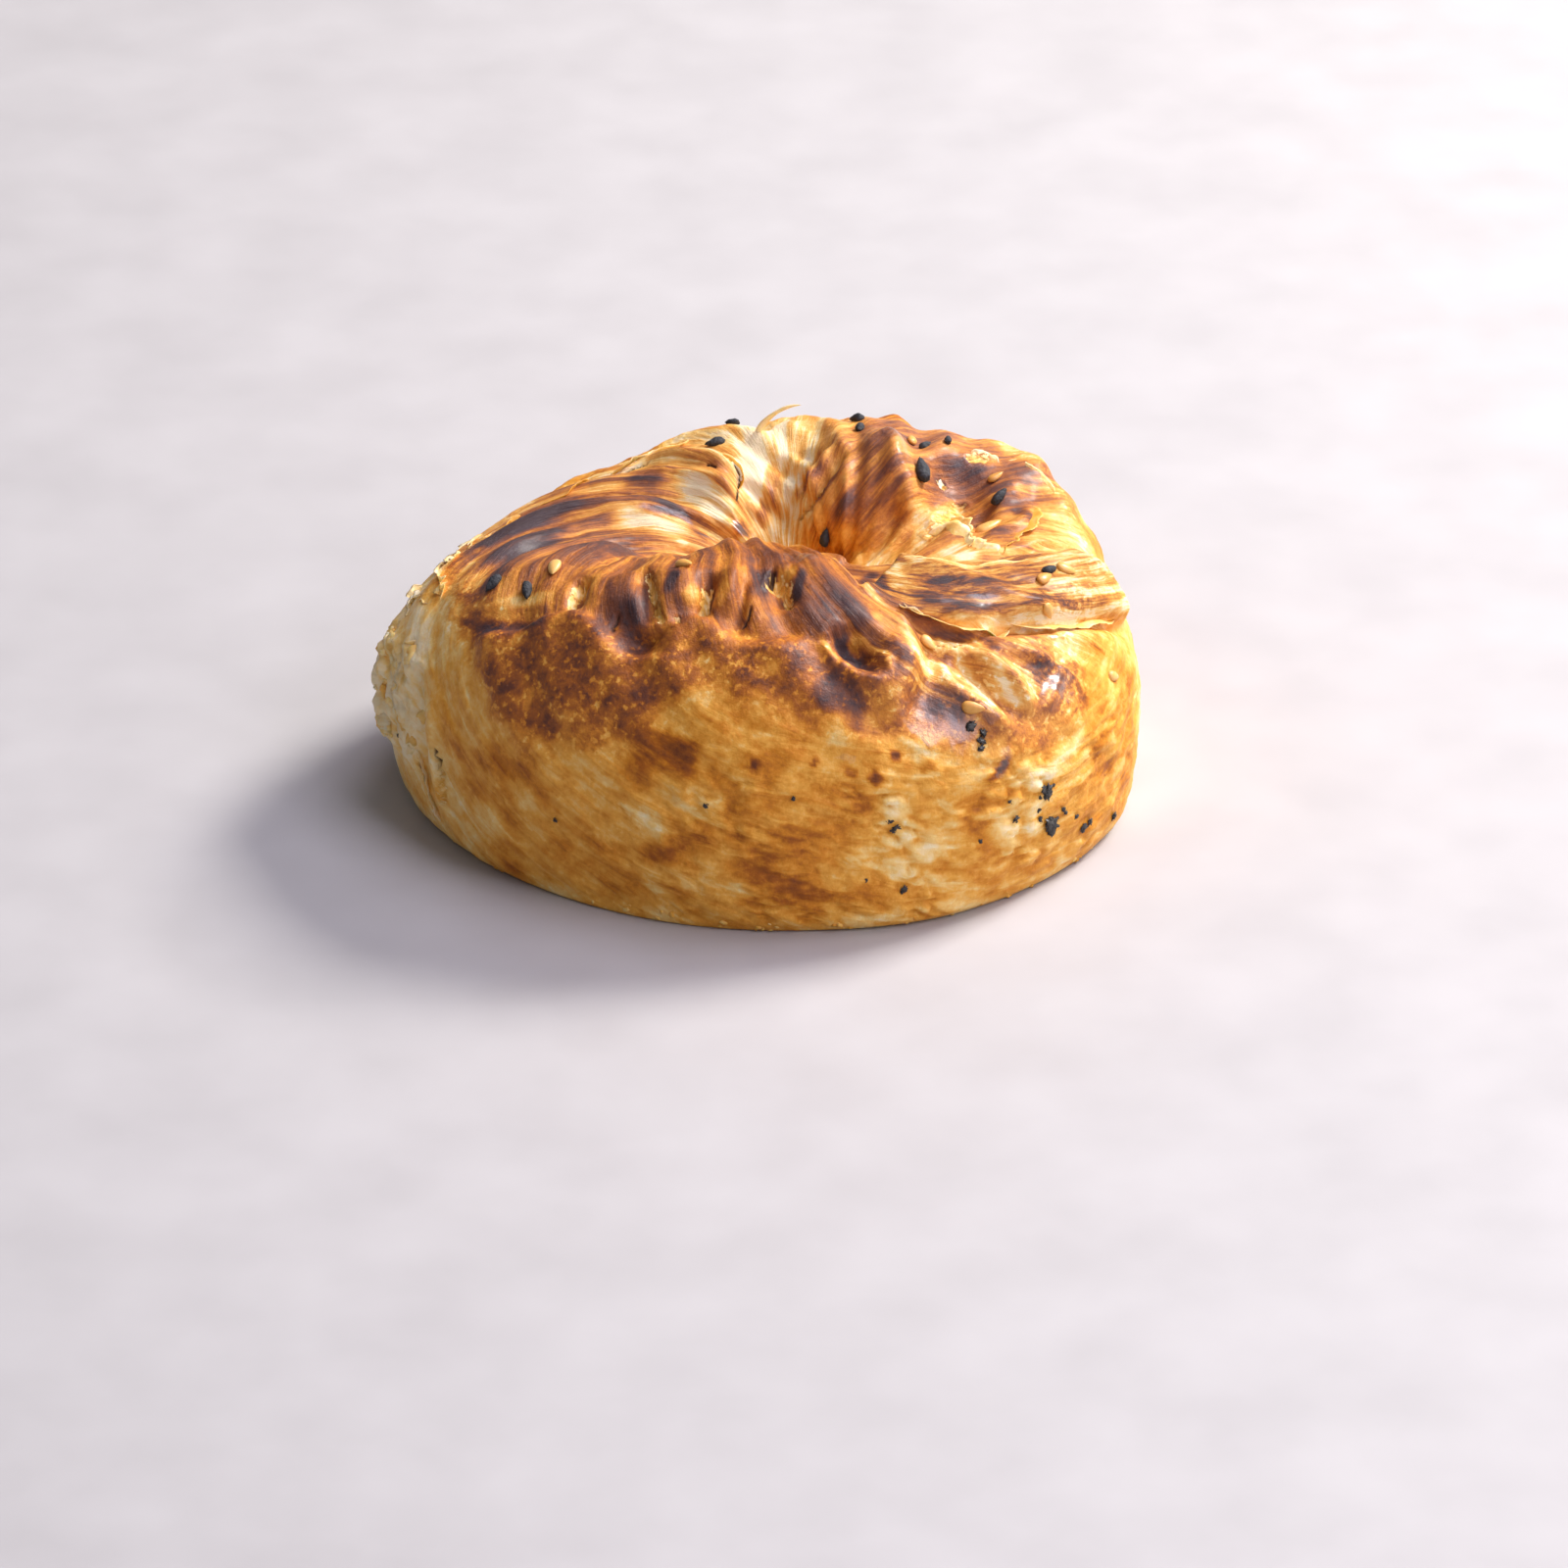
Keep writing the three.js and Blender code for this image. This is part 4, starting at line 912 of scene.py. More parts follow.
def crust_material():
    g = Graph("crust")
    flow, wrinkle_flow, tongue_flow = (
        g.attribute(name, "Vector") for name in ("flow", "wrinkle_flow", "tongue_flow")
    )
    tongue, streaked, speckled, side, crumb = (
        g.attribute(name) for name in ("tongue", "streaked", "speckled", "side", "crumb")
    )
    torn, cracks, shiny, glazed, crazed, folds = (
        g.attribute(name) for name in ("torn", "cracks", "shiny", "glazed", "crazed", "folds")
    )

    # patterns
    banded = g.math("MAXIMUM", streaked, tongue)
    broad = g.noise(1.3, 5.0, 0.6, 0.4, flow)
    broad = g.mix(tongue, broad, g.noise(1.5, 5.0, 0.6, 0.2, tongue_flow))
    fine = g.noise(3.6, 6.0, 0.73, 0.5, flow)
    fine = g.mix(tongue, fine, g.noise(5.0, 6.0, 0.73, 0.3, tongue_flow))
    bands = g.map_range(broad, 0.41, 0.59)
    wrinkles = g.noise(1.2, 3.0, 0.5, 1.1, wrinkle_flow)
    mottle = g.noise(240.0, 6.0, 0.66)
    patches = g.noise(75.0, 3.0, 0.5, 0.5)
    cream = g.map_range(g.noise(0.5, 4.0, 0.6, 1.4, wrinkle_flow), 0.5, 0.72)
    grain = g.noise(1500.0)
    fibre = g.noise(9.0, 3.0, 0.6, 0.3, flow)
    fray = g.noise(900.0)
    droplets = g.noise(520.0, 4.0, 0.6, 0.5)
    vein = g.math("ABSOLUTE", g.less(g.noise(480.0, 3.0, 0.6, 0.6), 0.5))
    crazing = g.map_range(vein, 0.0, 0.1, -1.0, 0.4)
    blisters = g.map_range(g.noise(1000.0, 3.0, 0.5), 0.54, 0.68)

    # browning
    value = g.add(g.attribute("tone"), bands, g.times(banded, 0.36))
    value = g.add(value, fine, g.times(banded, 1.15))
    value = g.add(value, mottle, g.mix(banded, 0.6, 0.25))
    value = g.add(value, wrinkles, g.times(side, 0.42))
    value = g.add(value, patches, g.mix(side, 0.3, 0.7))
    value = g.add(value, grain, 0.14)
    value = g.less(value, g.times(g.times(cream, side), 0.16))
    value = g.less(value, g.times(blisters, g.mix(speckled, 0.05, 0.23)))
    value = g.less(value, g.times(crumb, 0.1))
    value = g.add(value, mottle, g.times(speckled, 0.8))
    value = g.math("ADD", value, g.times(g.times(crazing, crazed), 0.1))
    value = g.add(value, droplets, g.times(crazed, 0.7))
    # painted shade and highlight: the side's creases are darker and its folds paler
    value = g.less(value, g.times(folds, 0.24))
    color = g.ramp(value, CRUST_RAMP)
    # painted sheen: the glazed top is mixed a little towards lilac grey
    color = g.mix_color(g.times(glazed, 0.09), color, PAINTED_SHEEN_COLOR)

    # torn edges, and painted shade in the cracks
    frayed = g.add(torn, fine, g.mix(banded, 0.5, 0.9))
    frayed = g.add(g.add(frayed, fray, 1.3), fibre, 0.9)
    frayed = g.map_range(frayed, 0.42, 0.66)
    color = g.mix_color(frayed, color, g.ramp(g.mix(0.5, fibre, fray), FRAYED_RAMP))
    # painted shade: the cracks and gaps are mixed towards near black
    crack_shade_mask = g.map_range(g.add(cracks, mottle, 0.6), 0.35, 0.7, 0.0, 0.92)

    # gloss and relief
    gleam = g.map_range(g.add(shiny, droplets, 1.6), 0.36, 0.7)
    rough = g.mix(gleam, g.mix(glazed, 0.5, 0.42), 0.3)
    relief = g.mix(banded, mottle, g.mix(0.6, broad, fine))
    relief = g.mix(g.times(side, 0.6), relief, wrinkles)
    normal = g.bump(relief, g.mix(banded, 0.3, 0.8), 0.0016)
    normal = g.bump(mottle, 0.3, 0.0006, normal)
    normal = g.bump(grain, 0.35, 0.0002, normal)
    normal = g.bump(g.less(frayed, crack_shade_mask), 0.5, 0.0003, normal)
    return g.finished({
        "Base Color": g.mix_color(crack_shade_mask, color, CRACK_SHADE_COLOR),
        "Roughness": g.add(rough, grain, 0.3),
        "Coat Weight": g.mix(gleam, g.times(glazed, 0.15), 0.9),
        "Coat Roughness": 0.3,
        "Coat IOR": 1.7,
        "Specular IOR Level": 0.2,
        "Subsurface Weight": 0.1,
        "Subsurface Radius": (0.003, 0.0014, 0.0005),
        "Subsurface Scale": 1.0,
        "Normal": g.bump(droplets, g.times(gleam, 0.9), 0.0008, normal),
    })


# ---------------------------------------------------------------- seeds
# Azimuth, ring, turn in degrees and size of each seed.
NIGELLA = [
    (199, 2.33, 20, 1.0), (205, 2.28, 60, 1.0), (115, 2.12, 80, 1.0), (107, 2.26, 40, 0.8),
    (73, 2.2, 60, 0.9), (69, 2.09, 10, 0.9), (44, 2.07, 0, 0.7), (41, 2.13, 50, 0.75),
    (30, 1.84, 75, 1.35), (16, 2.1, 35, 1.0), (338, 2.26, 70, 0.9), (57, 1.2, 0, 0.9),
]
SESAME = [
    (204, 2.15, 55, 1.0), (236, 2.08, 65, 1.05), (6, 2.0, 35, 1.3), (334, 2.27, 80, 0.9),
    (342, 2.3, 20, 0.9), (299, 2.34, 20, 0.8), (301, 2.62, 70, 0.95), (327, 2.37, 20, 0.8),
    (25, 2.17, 10, 0.75), (50, 2.08, 40, 0.8), (335, 2.72, 60, 0.8),
]
HIDDEN_SEEDS, HIDDEN_FROM, HIDDEN_TO, STREW_SEED = 14, 55, 135, 11
HIDDEN_RING, HIDDEN_REACH = 2.6, 0.35
DRAW_FACTOR, DRAW_MODULUS = 16807, 2147483647
SHADE_STEP = 0.618  # from one piece's shade to the next one's


def hidden_seeds():
    """The seeds strewn over the back, by the same rule as in the solid."""
    state = STREW_SEED
    draws = []
    for _ in range(1 + 4 * HIDDEN_SEEDS):
        state = state * DRAW_FACTOR % DRAW_MODULUS
        draws.append(state / DRAW_MODULUS)
    found = {"nigella": [], "sesame": []}
    for i in range(HIDDEN_SEEDS):
        a, b, c, d = draws[1 + 4 * i : 5 + 4 * i]
        azimuth = HIDDEN_FROM + (HIDDEN_TO - HIDDEN_FROM) * (i + 0.8 * a) / HIDDEN_SEEDS
        place = (azimuth, HIDDEN_RING + HIDDEN_REACH * b, 180 * c, 0.85 + 0.25 * d)
        found["sesame" if i % 2 else "nigella"].append(place)
    return found


FRAME_TURNS = np.array([0, 0, 0, 1.0, -1.0])  # to a place's neighbours, in degrees
FRAME_RINGS = np.array([0, 0.03, -0.03, 0, 0])


def crust_frame(azimuth, ring, turn, middle):
    """A place on the crust: its point in mm, and axes along, across and up."""
    p = lifted(azimuth + FRAME_TURNS, ring + FRAME_RINGS)
    p[:, :2] -= middle[:2]
    out = unit(p[1] - p[2])
    up = unit(np.cross(p[1] - p[2], p[3] - p[4]))
    side = np.cross(up, out)
    t = math.radians(turn)
    along = out * math.cos(t) + side * math.sin(t)
    return p[0], np.array([along, np.cross(up, along), up])


def ball(count, steps):
    """A unit ball's points, from -X to +X, and its faces."""
    points = [(-1.0, 0.0, 0.0)]
    for i in range(1, steps):
        t = math.pi * i / steps
        for j in range(count):
            a = 2 * math.pi * j / count
            points.append((-math.cos(t), math.sin(t) * math.cos(a), math.sin(t) * math.sin(a)))
    points.append((1.0, 0.0, 0.0))
    return np.array(points), capped_faces(count, steps - 1)


SEED_HALVES = {"nigella": (1.5, 0.85, 0.8), "sesame": (1.65, 0.98, 0.6)}  # mm
SEED_ROUGH = {"nigella": 0.16, "sesame": 0.05}
SEED_SINK = 0.25  # the share of its height that lies in the crust
SEED_BEND = 0.12
SEED_DRAW = 100  # the first seed's random seed


def seed_points(kind, number):
    """One seed of unit half lengths: a drop with its tip at +X."""
    points, faces = ball(14, 12)
    bend = np.random.default_rng(SEED_DRAW + number).uniform(-SEED_BEND, SEED_BEND)
    x, y, z = points.T
    wide = 0.92 * (1 - 0.34 * x)
    if kind == "nigella":
        a = np.arctan2(z, y) + 0.3 * x + 0.4
        facet = 1 / np.maximum(np.abs(np.cos(a % (2 * math.pi / 3) - math.pi / 3)), 0.5)
        wide = wide * (0.7 + 0.16 * facet)
    shaped = np.stack([x + 0.1 * (x > 0.99), y * wide + bend * x * x, z * wide], -1)
    lumps = noise_at(points * 1.8 + 3.7 * number, 3)
    return shaped * (1 + SEED_ROUGH[kind] * lumps)[:, None], faces


class Heap:
    """Many small closed meshes gathered into one piece, with a shade for each point."""

    def __init__(self):
        self.vertices, self.faces, self.shades, self.count = [], [], [], 0

    def put(self, points, faces, shade):
        self.vertices.append(points)
        self.faces += [tuple(self.count + k for k in face) for face in faces]
        self.shades.append(np.broadcast_to(shade, len(points)))
        self.count += len(points)

    def piece(self, name):
        made = mesh_object(name, np.vstack(self.vertices) * MM, self.faces)
        set_attribute(made, "shade", np.concatenate(self.shades))
        return made


def make_seeds(kind, places, middle):
    heap = Heap()
    for number, (azimuth, ring, turn, size) in enumerate(places):
        at, axes = crust_frame(azimuth, ring, turn, middle)
        points, faces = seed_points(kind, number)
        half = np.array(SEED_HALVES[kind]) * size
        lift = at + axes[2] * half[2] * (1 - 2 * SEED_SINK)
        heap.put((points * half) @ axes + lift, faces, (number * SHADE_STEP) % 1.0)
    return heap.piece(kind + "_seeds")


# ---------------------------------------------------------------- flakes and crumbs
# Thin torn sheets of dough that lift off the crust. Each leaves it along a path and
# stands out to one side of it: 1 is the left of the path's direction, -1 the right.
def flake(width, lift, side, shade, *path, ragged=0.35):
    return on_path(path, width=width, lift=lift, side=side, shade=shade, ragged=ragged)


FLAKES = [
    # the tongue's lower edge over the crevice, its end and its upper edge
    flake(1.3, 0.4, -1, 0.26, 297.5, 2.19, 302.8, 2.25, 307.8, 2.3, 314.5, 2.34, 319.5, 2.35),
    flake(1.2, 0.3, -1, 0.28, 319, 2.34, 326.8, 2.39, 334, 2.45, 341, 2.51, 347, 2.6, ragged=0.2),
    flake(0.8, 0.3, 1, 0.3, 303.5, 1.99, 308, 2.02, 312.5, 2.07, 320, 2.11, 330, 2.14, 340, 2.2),
    flake(0.7, 0.4, -1, 0.2, 296.2, 2.19, 299, 2.21, 301, 2.235, ragged=0.6),
    # torn layers in the hollow behind the tongue
    flake(2.2, 0.5, 1, 0.24, 6, 1.62, 357.5, 1.74, 348.1, 1.89, 340, 2.06, ragged=0.4),
    flake(1.8, 0.5, 1, 0.3, 14, 1.82, 7, 1.8, 359, 1.8, 351, 1.86, ragged=0.5),
    flake(1.5, 0.5, 1, 0.42, 14, 2.22, 4.5, 2.12, 355.5, 2.03, 346, 2.04, ragged=0.5),
    flake(1.2, 0.4, 1, 0.46, 2, 2.36, 355.5, 2.22, 348, 2.14, ragged=0.5),
    flake(1.2, 0.5, 1, 0.16, 36, 2.18, 33.5, 2.2, 30.5, 2.24, ragged=0.8),
    flake(0.9, 0.4, 1, 0.14, 26, 1.95, 28, 1.99, 30.5, 2.03, ragged=0.8),
    flake(1.1, 0.5, 1, 0.3, 31, 2.28, 27, 2.3, 22.7, 2.33, 19, 2.36, ragged=0.8),
    # the left lobe's rough upper silhouette and layer edges
    flake(1.3, 0.8, -1, 0.3, 190, 2.5, 186, 2.49, 181, 2.44, 176, 2.4, ragged=0.9),
    flake(1.1, 0.7, -1, 0.4, 174, 2.36, 168, 2.33, 162, 2.3, ragged=0.9),
    flake(0.9, 0.4, -1, 0.5, 160, 2.26, 152, 2.24, 145, 2.25, ragged=0.7),
    flake(1.2, 0.5, -1, 0.24, 141, 2.26, 133, 2.26, 124, 2.3, 117, 2.31, ragged=0.6),
    flake(0.7, 0.3, 1, 0.42, 120.5, 1.92, 117.2, 1.88, 117, 1.8, 121, 1.69, ragged=0.4),
    # hanging scraps on the torn left side
    flake(1.2, 0.7, 1, 0.16, 198, 3.06, 200, 3.18, 201.6, 3.32, 203.6, 3.48, ragged=0.8),
    flake(1.3, 0.8, -1, 0.16, 193, 2.68, 193.5, 2.8, 194.5, 2.95, 196, 3.08, ragged=0.8),
]
# Small scraps strewn over the rough edge above the torn left side.
SCRAPS = 24
SCRAP_FROM, SCRAP_TO = 164, 187
SCRAP_RING, SCRAP_REACH = 2.4, 0.24
SCRAP_SEED = 3
FLAKE_ACROSS = 6  # points across a flake
FLAKE_STEP = 0.35  # mm between points along a flake
FLAKE_SAMPLES = 60  # for a flake's length
FLAKE_THICKNESS = 0.2
FLAKE_ROOT = 0.35  # how deep its root lies in the crust


def flake_sheet(one, number, middle):
    """A flake's closed mesh."""
    line = sample_path(one["path"], FLAKE_SAMPLES)
    length = np.linalg.norm(line[1:] - line[:-1], axis=1).sum()
    path = path_coordinates(one["path"], max(int(length / FLAKE_STEP), 6)).T
    line = lifted(*path)
    line[:, :2] -= middle[:2]
    up = base_normals(*path)
    run = unit(np.gradient(line, axis=0))
    out = unit(np.cross(up, run)) * one["side"]
    share = np.linspace(0, 1, len(line))
    still = 0 * share
    wave = noise_at(np.stack([share * length * 0.4, still + number * 9.1, still], -1), 5)
    curl = noise_at(np.stack([share * length * 0.2, still + number * 5.3, still + 4], -1), 2)
    taper = taper_of(share, 0.18) ** 0.5
    width = one["width"] * np.clip(1 + one["ragged"] * 1.6 * wave, 0.25, 1.8) * taper
    lift = one["lift"] * (1 + 0.8 * curl) * taper
    top, bottom, depth = [], [], []
    for k in range(FLAKE_ACROSS):
        t = k / (FLAKE_ACROSS - 1)
        rise = (lift + FLAKE_ROOT) * t**1.3 - FLAKE_ROOT
        sheet = line + out * (width * t)[:, None] + up * rise[:, None]
        top.append(sheet)
        bottom.append(sheet - up * FLAKE_THICKNESS * (1 - 0.65 * t))
        depth.append(np.full(len(line), one["shade"] - 0.12 * t))
    count = len(line)
    under = FLAKE_ACROSS * count
    faces = []
    for k in range(FLAKE_ACROSS - 1):
        for i in range(count - 1):
            a, b = k * count + i, (k + 1) * count + i
            faces += [(a, a + 1, b + 1, b), (under + a, under + b, under + b + 1, under + a + 1)]
    rim = list(range(count))
    rim += range(2 * count - 1, under, count)
    rim += range(under - 2, under - count - 1, -1)
    rim += range(under - 2 * count, 0, -count)
    for a, b in zip(rim, rim[1:] + rim[:1]):
        faces.append((a, under + a, under + b, b))
    if one["side"] < 0:
        faces = [face[::-1] for face in faces]
    return np.vstack(top + bottom), faces, np.concatenate(depth + depth)


CURL_AZIMUTH, CURL_RING = 103, 2.1
CURL_REACH, CURL_RISE, CURL_ROOT, CURL_RADIUS = 6.4, 4.6, 0.6, 0.6  # mm


def curl_points(middle):
    """The thin strand of dough that stands up at the back and bends over to +X."""
    at, _ = crust_frame(CURL_AZIMUTH, CURL_RING, 0, middle)
    points, faces = ball(12, 26)
    t = (points[:, 0] + 1) / 2
    quarter = 0.5 * math.pi
    run = np.stack([1.3 * CURL_REACH * t**0.3, quarter * CURL_RISE * np.cos(quarter * t)])
    run /= np.linalg.norm(run, axis=0)
    radius = CURL_RADIUS * (1 - 0.66 * t) * (1 + 0.2 * np.sin(9 * t))
    y, z = points[:, 1] * radius * 0.5, points[:, 2] * radius
    up = CURL_RISE * np.sin(quarter * t) - CURL_ROOT
    return at + np.stack([CURL_REACH * t**1.3 - run[1] * z, y, up + run[0] * z], -1), faces


def scraps():
    """The scraps' flakes, by a seeded random rule."""
    draw = np.random.default_rng(SCRAP_SEED)
    found = []
    for _ in range(SCRAPS):
        azimuth = draw.uniform(SCRAP_FROM, SCRAP_TO)
        ring = SCRAP_RING + SCRAP_REACH * draw.uniform() ** 1.5
        along = draw.uniform(2.0, 5.0)
        path = [azimuth, ring, azimuth + along, ring + draw.uniform(-0.06, 0.06)]
        width, lift = draw.uniform(0.5, 1.1), draw.uniform(0.2, 0.7)
        found.append(flake(width, lift, -1, draw.uniform(0.08, 0.34), *path, ragged=0.8))
    return found


def make_flakes(middle):
    heap = Heap()
    for number, one in enumerate(FLAKES + scraps()):
        points, faces, shade = flake_sheet(one, number, middle)
        heap.put(points, faces, shade)
    points, faces = curl_points(middle)
    heap.put(points, faces, 0.05)
    return heap.piece("flakes")


CRUMBS, CRUMBS_FROM, CRUMBS_TO = 46, 2.74, 3.12  # how many, and their rings
RIM_CRUMBS, RIM_FROM, RIM_TO = 110, 3.66, 3.86
CRUMB_SEED = 5
TABLE_GAP = 0.02  # mm, the least height of a crumb along the foot


def rough_ball(count, steps, scale, shift, octaves, rough, halves):
    """A ball's points and faces, made rough by noise and then stretched."""
    points, faces = ball(count, steps)
    lumps = noise_at(points * scale + shift, octaves)
    return points * (1 + rough * lumps)[:, None] * halves, faces


def make_crumbs(middle):
    """Lumps of pale crumb where the left side is torn, and small ones along the foot."""
    draw = np.random.default_rng(CRUMB_SEED)
    heap = Heap()
    for number in range(CRUMBS):
        ring = draw.uniform(CRUMBS_FROM, CRUMBS_TO)
        azimuth = 188 + 3.2 * draw.normal() + 8 * (ring - CRUMBS_FROM)
        size = draw.uniform(0.5, 1.5)
        at, axes = crust_frame(azimuth, ring, draw.uniform(0, 180), middle)
        points, faces = rough_ball(16, 12, 1.3, number * 7.7, 3, 0.55, [1.25, 1.0, 0.8])
        points = points * size @ axes + at - axes[2] * 0.25 * size
        heap.put(points, faces, draw.uniform(0.1, 0.26))
    for number in range(RIM_CRUMBS):
        size = draw.uniform(0.15, 0.42)
        place = draw.uniform(0, 360), draw.uniform(RIM_FROM, RIM_TO), draw.uniform(0, 180)
        at, axes = crust_frame(*place, middle)
        points, faces = rough_ball(8, 6, 1.5, number * 4.3, 2, 0.5, [1.5, 1.0, 0.7])
        points = points * size @ axes + at - axes[2] * 0.1 * size
        points[:, 2] = np.maximum(points[:, 2], TABLE_GAP)
        heap.put(points, faces, draw.uniform(0.2, 0.46))
    return heap.piece("crumbs")


# Dark specks of olive baked into the crust: azimuth, ring and size in mm.
OLIVE_BITS = [
    (312.2, 2.96, 1.1), (313.6, 3.12, 1.3), (305, 2.95, 0.5), (305.7, 3.0, 0.45),
    (310.3, 3.0, 0.4), (310.8, 3.05, 0.45), (316.2, 3.05, 0.4), (316.8, 3.08, 0.35),
    (319.5, 3.15, 0.4), (321.8, 3.28, 0.6), (323.4, 3.26, 0.5), (331.5, 3.4, 0.6),
    (284, 2.94, 0.45), (284.9, 2.965, 0.6), (286.2, 3.3, 0.5), (299, 3.06, 0.3),
    (254.5, 2.9, 0.35), (229, 3.05, 0.3), (193, 3.07, 0.35), (268.5, 2.86, 0.3),
    (301.6, 2.71, 0.5), (301, 2.735, 0.5), (300.6, 2.76, 0.4), (299.8, 2.68, 0.7),
    (280, 3.2, 0.3), (40, 2.7, 0.9), (52, 2.95, 0.5), (61, 2.8, 0.4), (95, 3.0, 0.8),
    (99, 3.05, 0.5), (126, 2.85, 0.6), (148, 2.9, 0.9), (151, 3.0, 0.5), (165, 2.8, 0.4),
    (20, 2.9, 0.6), (8, 3.0, 0.5), (76, 2.6, 0.4),
]
OLIVE_SEED = 8
SPLINTERS_PER_MM = 7  # splinters round each speck, for each mm of its size
OLIVE_LIFT = 0.15  # mm


def make_olive_bits(middle):
    """Flat ragged specks, each with smaller splinters round it."""
    draw = np.random.default_rng(OLIVE_SEED)
    heap = Heap()
    for number, (azimuth, ring, size) in enumerate(OLIVE_BITS):
        at, axes = crust_frame(azimuth, ring, 37.0 * number, middle)
        places = [(0.0, 0.0, size)]
        for _ in range(int(SPLINTERS_PER_MM * size)):
            turn, off = draw.uniform(0, 2 * math.pi), size * draw.uniform(0.5, 1.35)
            reach = size * draw.uniform(0.16, 0.42)
            places.append((off * math.cos(turn), off * math.sin(turn), reach))
        for x, y, reach in places:
            shift = draw.uniform(0, 90, 3)
            points, faces = rough_ball(18, 10, 2.4, shift, 3, 1.1, [0.95, 0.7, 0.26])
            points = (points * reach + [x, y, OLIVE_LIFT]) @ axes + at
            heap.put(points, faces, (number * SHADE_STEP) % 1.0)
    return heap.piece("olive_bits")


def flake_material(name, shift):
    """Thin dry dough: the crust's colours, paler by a shift."""
    g = Graph(name)
    mottle = g.noise(320.0, 5.0, 0.62)
    grain = g.noise(1600.0)
    value = g.less(g.attribute("shade"), shift)
    value = g.add(g.add(value, mottle, 0.6), grain, 0.16)
    return g.finished({
        "Base Color": g.ramp(value, CRUST_RAMP),
        "Roughness": g.map_range(mottle, 0.35, 0.65, 0.38, 0.62, "LINEAR"),
        "Specular IOR Level": 0.3,
        "Subsurface Weight": 0.25,
        "Subsurface Radius": (0.002, 0.001, 0.0004),
        "Subsurface Scale": 1.0,
        "Normal": g.bump(grain, 0.4, 0.0002, g.bump(mottle, 0.5, 0.0006)),
    })


def dark_material(name, low, high, rough, scale):
    g = Graph(name)
    grain = g.noise(scale)
    return g.finished({
        "Base Color": g.ramp(grain, [(0.3, low), (0.75, high)]),
        "Roughness": g.map_range(grain, 0.3, 0.7, rough - 0.12, rough + 0.12, "LINEAR"),
        "Normal": g.bump(grain, 0.9, 0.0004),
    })


SESAME_RAMP = [
    (0.15, (0.78, 0.46, 0.14)),
    (0.6, (0.68, 0.33, 0.07)),
    (0.95, (0.46, 0.19, 0.035)),
]


def sesame_material():
    g = Graph("sesame")
    grain = g.noise(1200.0)
    shade = g.math("ADD", g.times(g.attribute("shade"), 0.5), g.times(grain, 0.5))
    return g.finished({
        "Base Color": g.ramp(shade, SESAME_RAMP),
        "Roughness": g.map_range(grain, 0.3, 0.7, 0.3, 0.5, "LINEAR"),
        "Subsurface Weight": 0.2,
        "Subsurface Radius": (0.001, 0.0006, 0.0003),
        "Normal": g.bump(grain, 0.4, 0.0001),
    })


# ---------------------------------------------------------------- build the bun
crust, MIDDLE = make_crust()
crust.data.materials.append(crust_material())
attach(crust, "root")
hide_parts("bun")

NIGELLA_COLORS = (0.006, 0.007, 0.009), (0.045, 0.045, 0.052)
OLIVE_COLORS = (0.008, 0.008, 0.010), (0.06, 0.052, 0.045)
strewn = hidden_seeds()
DRESSING = [
    (
        make_seeds("nigella", NIGELLA + strewn["nigella"], MIDDLE),
        dark_material("nigella", *NIGELLA_COLORS, rough=0.74, scale=1500.0),
    ),
    (make_seeds("sesame", SESAME + strewn["sesame"], MIDDLE), sesame_material()),
    (make_flakes(MIDDLE), flake_material("flakes", 0.0)),
    (make_crumbs(MIDDLE), flake_material("crumb", 0.04)),
    (make_olive_bits(MIDDLE), dark_material("olive", *OLIVE_COLORS, rough=0.5, scale=1100.0)),
]
for piece, material in DRESSING:
    piece.data.materials.append(material)
    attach(piece, "root")


# ---------------------------------------------------------------- floor, lights, camera
FLOOR_HALF = 3.0  # metres
FLOOR_RAMP = [(0.3, (0.43, 0.41, 0.41)), (0.7, (0.46, 0.44, 0.44))]


def floor_material():
    g = Graph("floor")
    grain = g.noise(60.0, 3.0, 0.5)
    return g.finished({
        "Base Color": g.ramp(grain, FLOOR_RAMP),
        "Roughness": g.map_range(grain, 0.3, 0.7, 0.5, 0.6, "LINEAR"),
    })


corners = [(FLOOR_HALF * x, FLOOR_HALF * y, 0) for x, y in ((-1, -1), (1, -1), (1, 1), (-1, 1))]
floor = mesh_object("floor", corners, [(0, 1, 2, 3)], smooth=False)
floor.data.materials.append(floor_material())


def aimed(direction):
    """The rotation of a light or camera that looks along a direction."""
    return Vector(direction).to_track_quat("-Z", "Y")


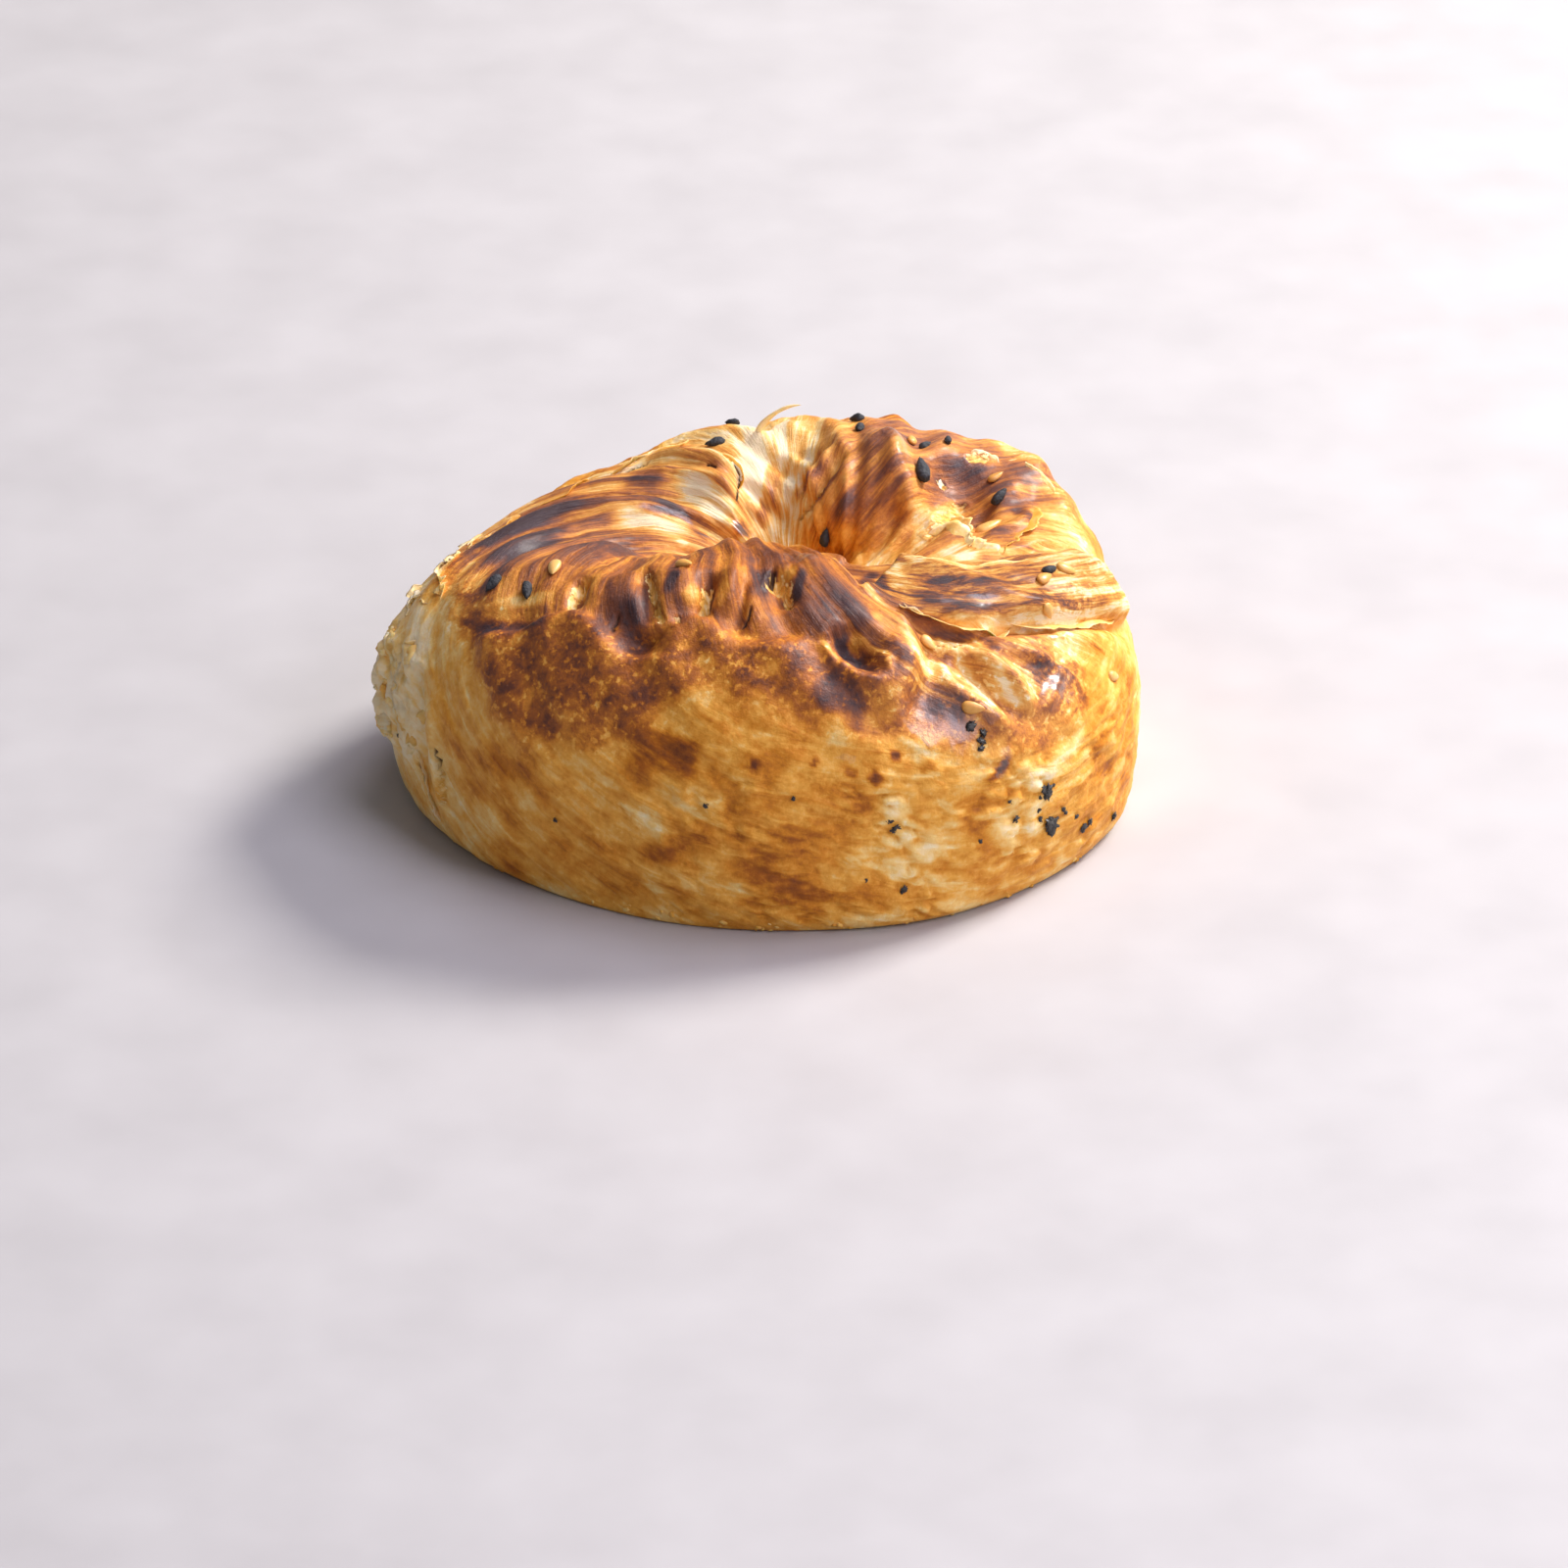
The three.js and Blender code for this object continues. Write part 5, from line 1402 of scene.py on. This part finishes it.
LIT_POINT = Vector((0, 0, 0.02))
# Name, place, size in metres, watts and colour of each area light.
LIGHTS = [
    ("key", (0.66, 0.42, 0.72), 0.3, 18.5, (1.0, 0.97, 0.93)),
    ("side", (0.9, -0.52, 0.46), 0.5, 2.0, (0.98, 0.95, 1.0)),
    ("strip", (0.62, -0.48, 0.78), 0.45, 4.0, (0.85, 0.83, 1.0)),
    ("fill", (0.3, -1.2, 0.8), 1.4, 2.8, (0.93, 0.93, 1.0)),
    ("sky", (0.32, 0.12, 1.2), 0.65, 7.5, (0.86, 0.84, 1.0)),
]
for name, place, size, watts, color in LIGHTS:
    lamp = bpy.data.lights.new(name, "AREA")
    lamp.size = size
    lamp.energy = watts
    lamp.color = color
    light = bpy.data.objects.new(name, lamp)
    bpy.context.scene.collection.objects.link(light)
    light.location = place
    light.rotation_mode = "QUATERNION"
    light.rotation_quaternion = aimed(LIT_POINT - Vector(place))

world = bpy.data.worlds.new("studio")
world.use_nodes = True
background = world.node_tree.nodes["Background"]
background.inputs["Color"].default_value = (0.93, 0.94, 1.0, 1.0)
background.inputs["Strength"].default_value = 0.16
bpy.context.scene.world = world
bpy.context.scene.view_settings.view_transform = "Standard"

# The camera as fitted to the photograph, in metres.
CAMERA_ELEVATION = math.radians(29.27)
CAMERA_ROLL = math.radians(0.52)
CAMERA_DISTANCE = 1.102
LENS_MM, SENSOR_MM = 180.0, 36.0
LOOK_AT = Vector((0.0037, -0.0027, 0.0))
lens = bpy.data.cameras.new("camera")
lens.lens = LENS_MM
lens.sensor_width = SENSOR_MM
camera = bpy.data.objects.new("camera", lens)
bpy.context.scene.collection.objects.link(camera)
back = Vector((0.0, -math.cos(CAMERA_ELEVATION), math.sin(CAMERA_ELEVATION)))
camera.location = LOOK_AT + back * CAMERA_DISTANCE
camera.rotation_mode = "QUATERNION"
camera.rotation_quaternion = aimed(-back) @ Matrix.Rotation(-CAMERA_ROLL, 4, "Z").to_quaternion()
bpy.context.scene.camera = camera

bpy.context.view_layer.update()
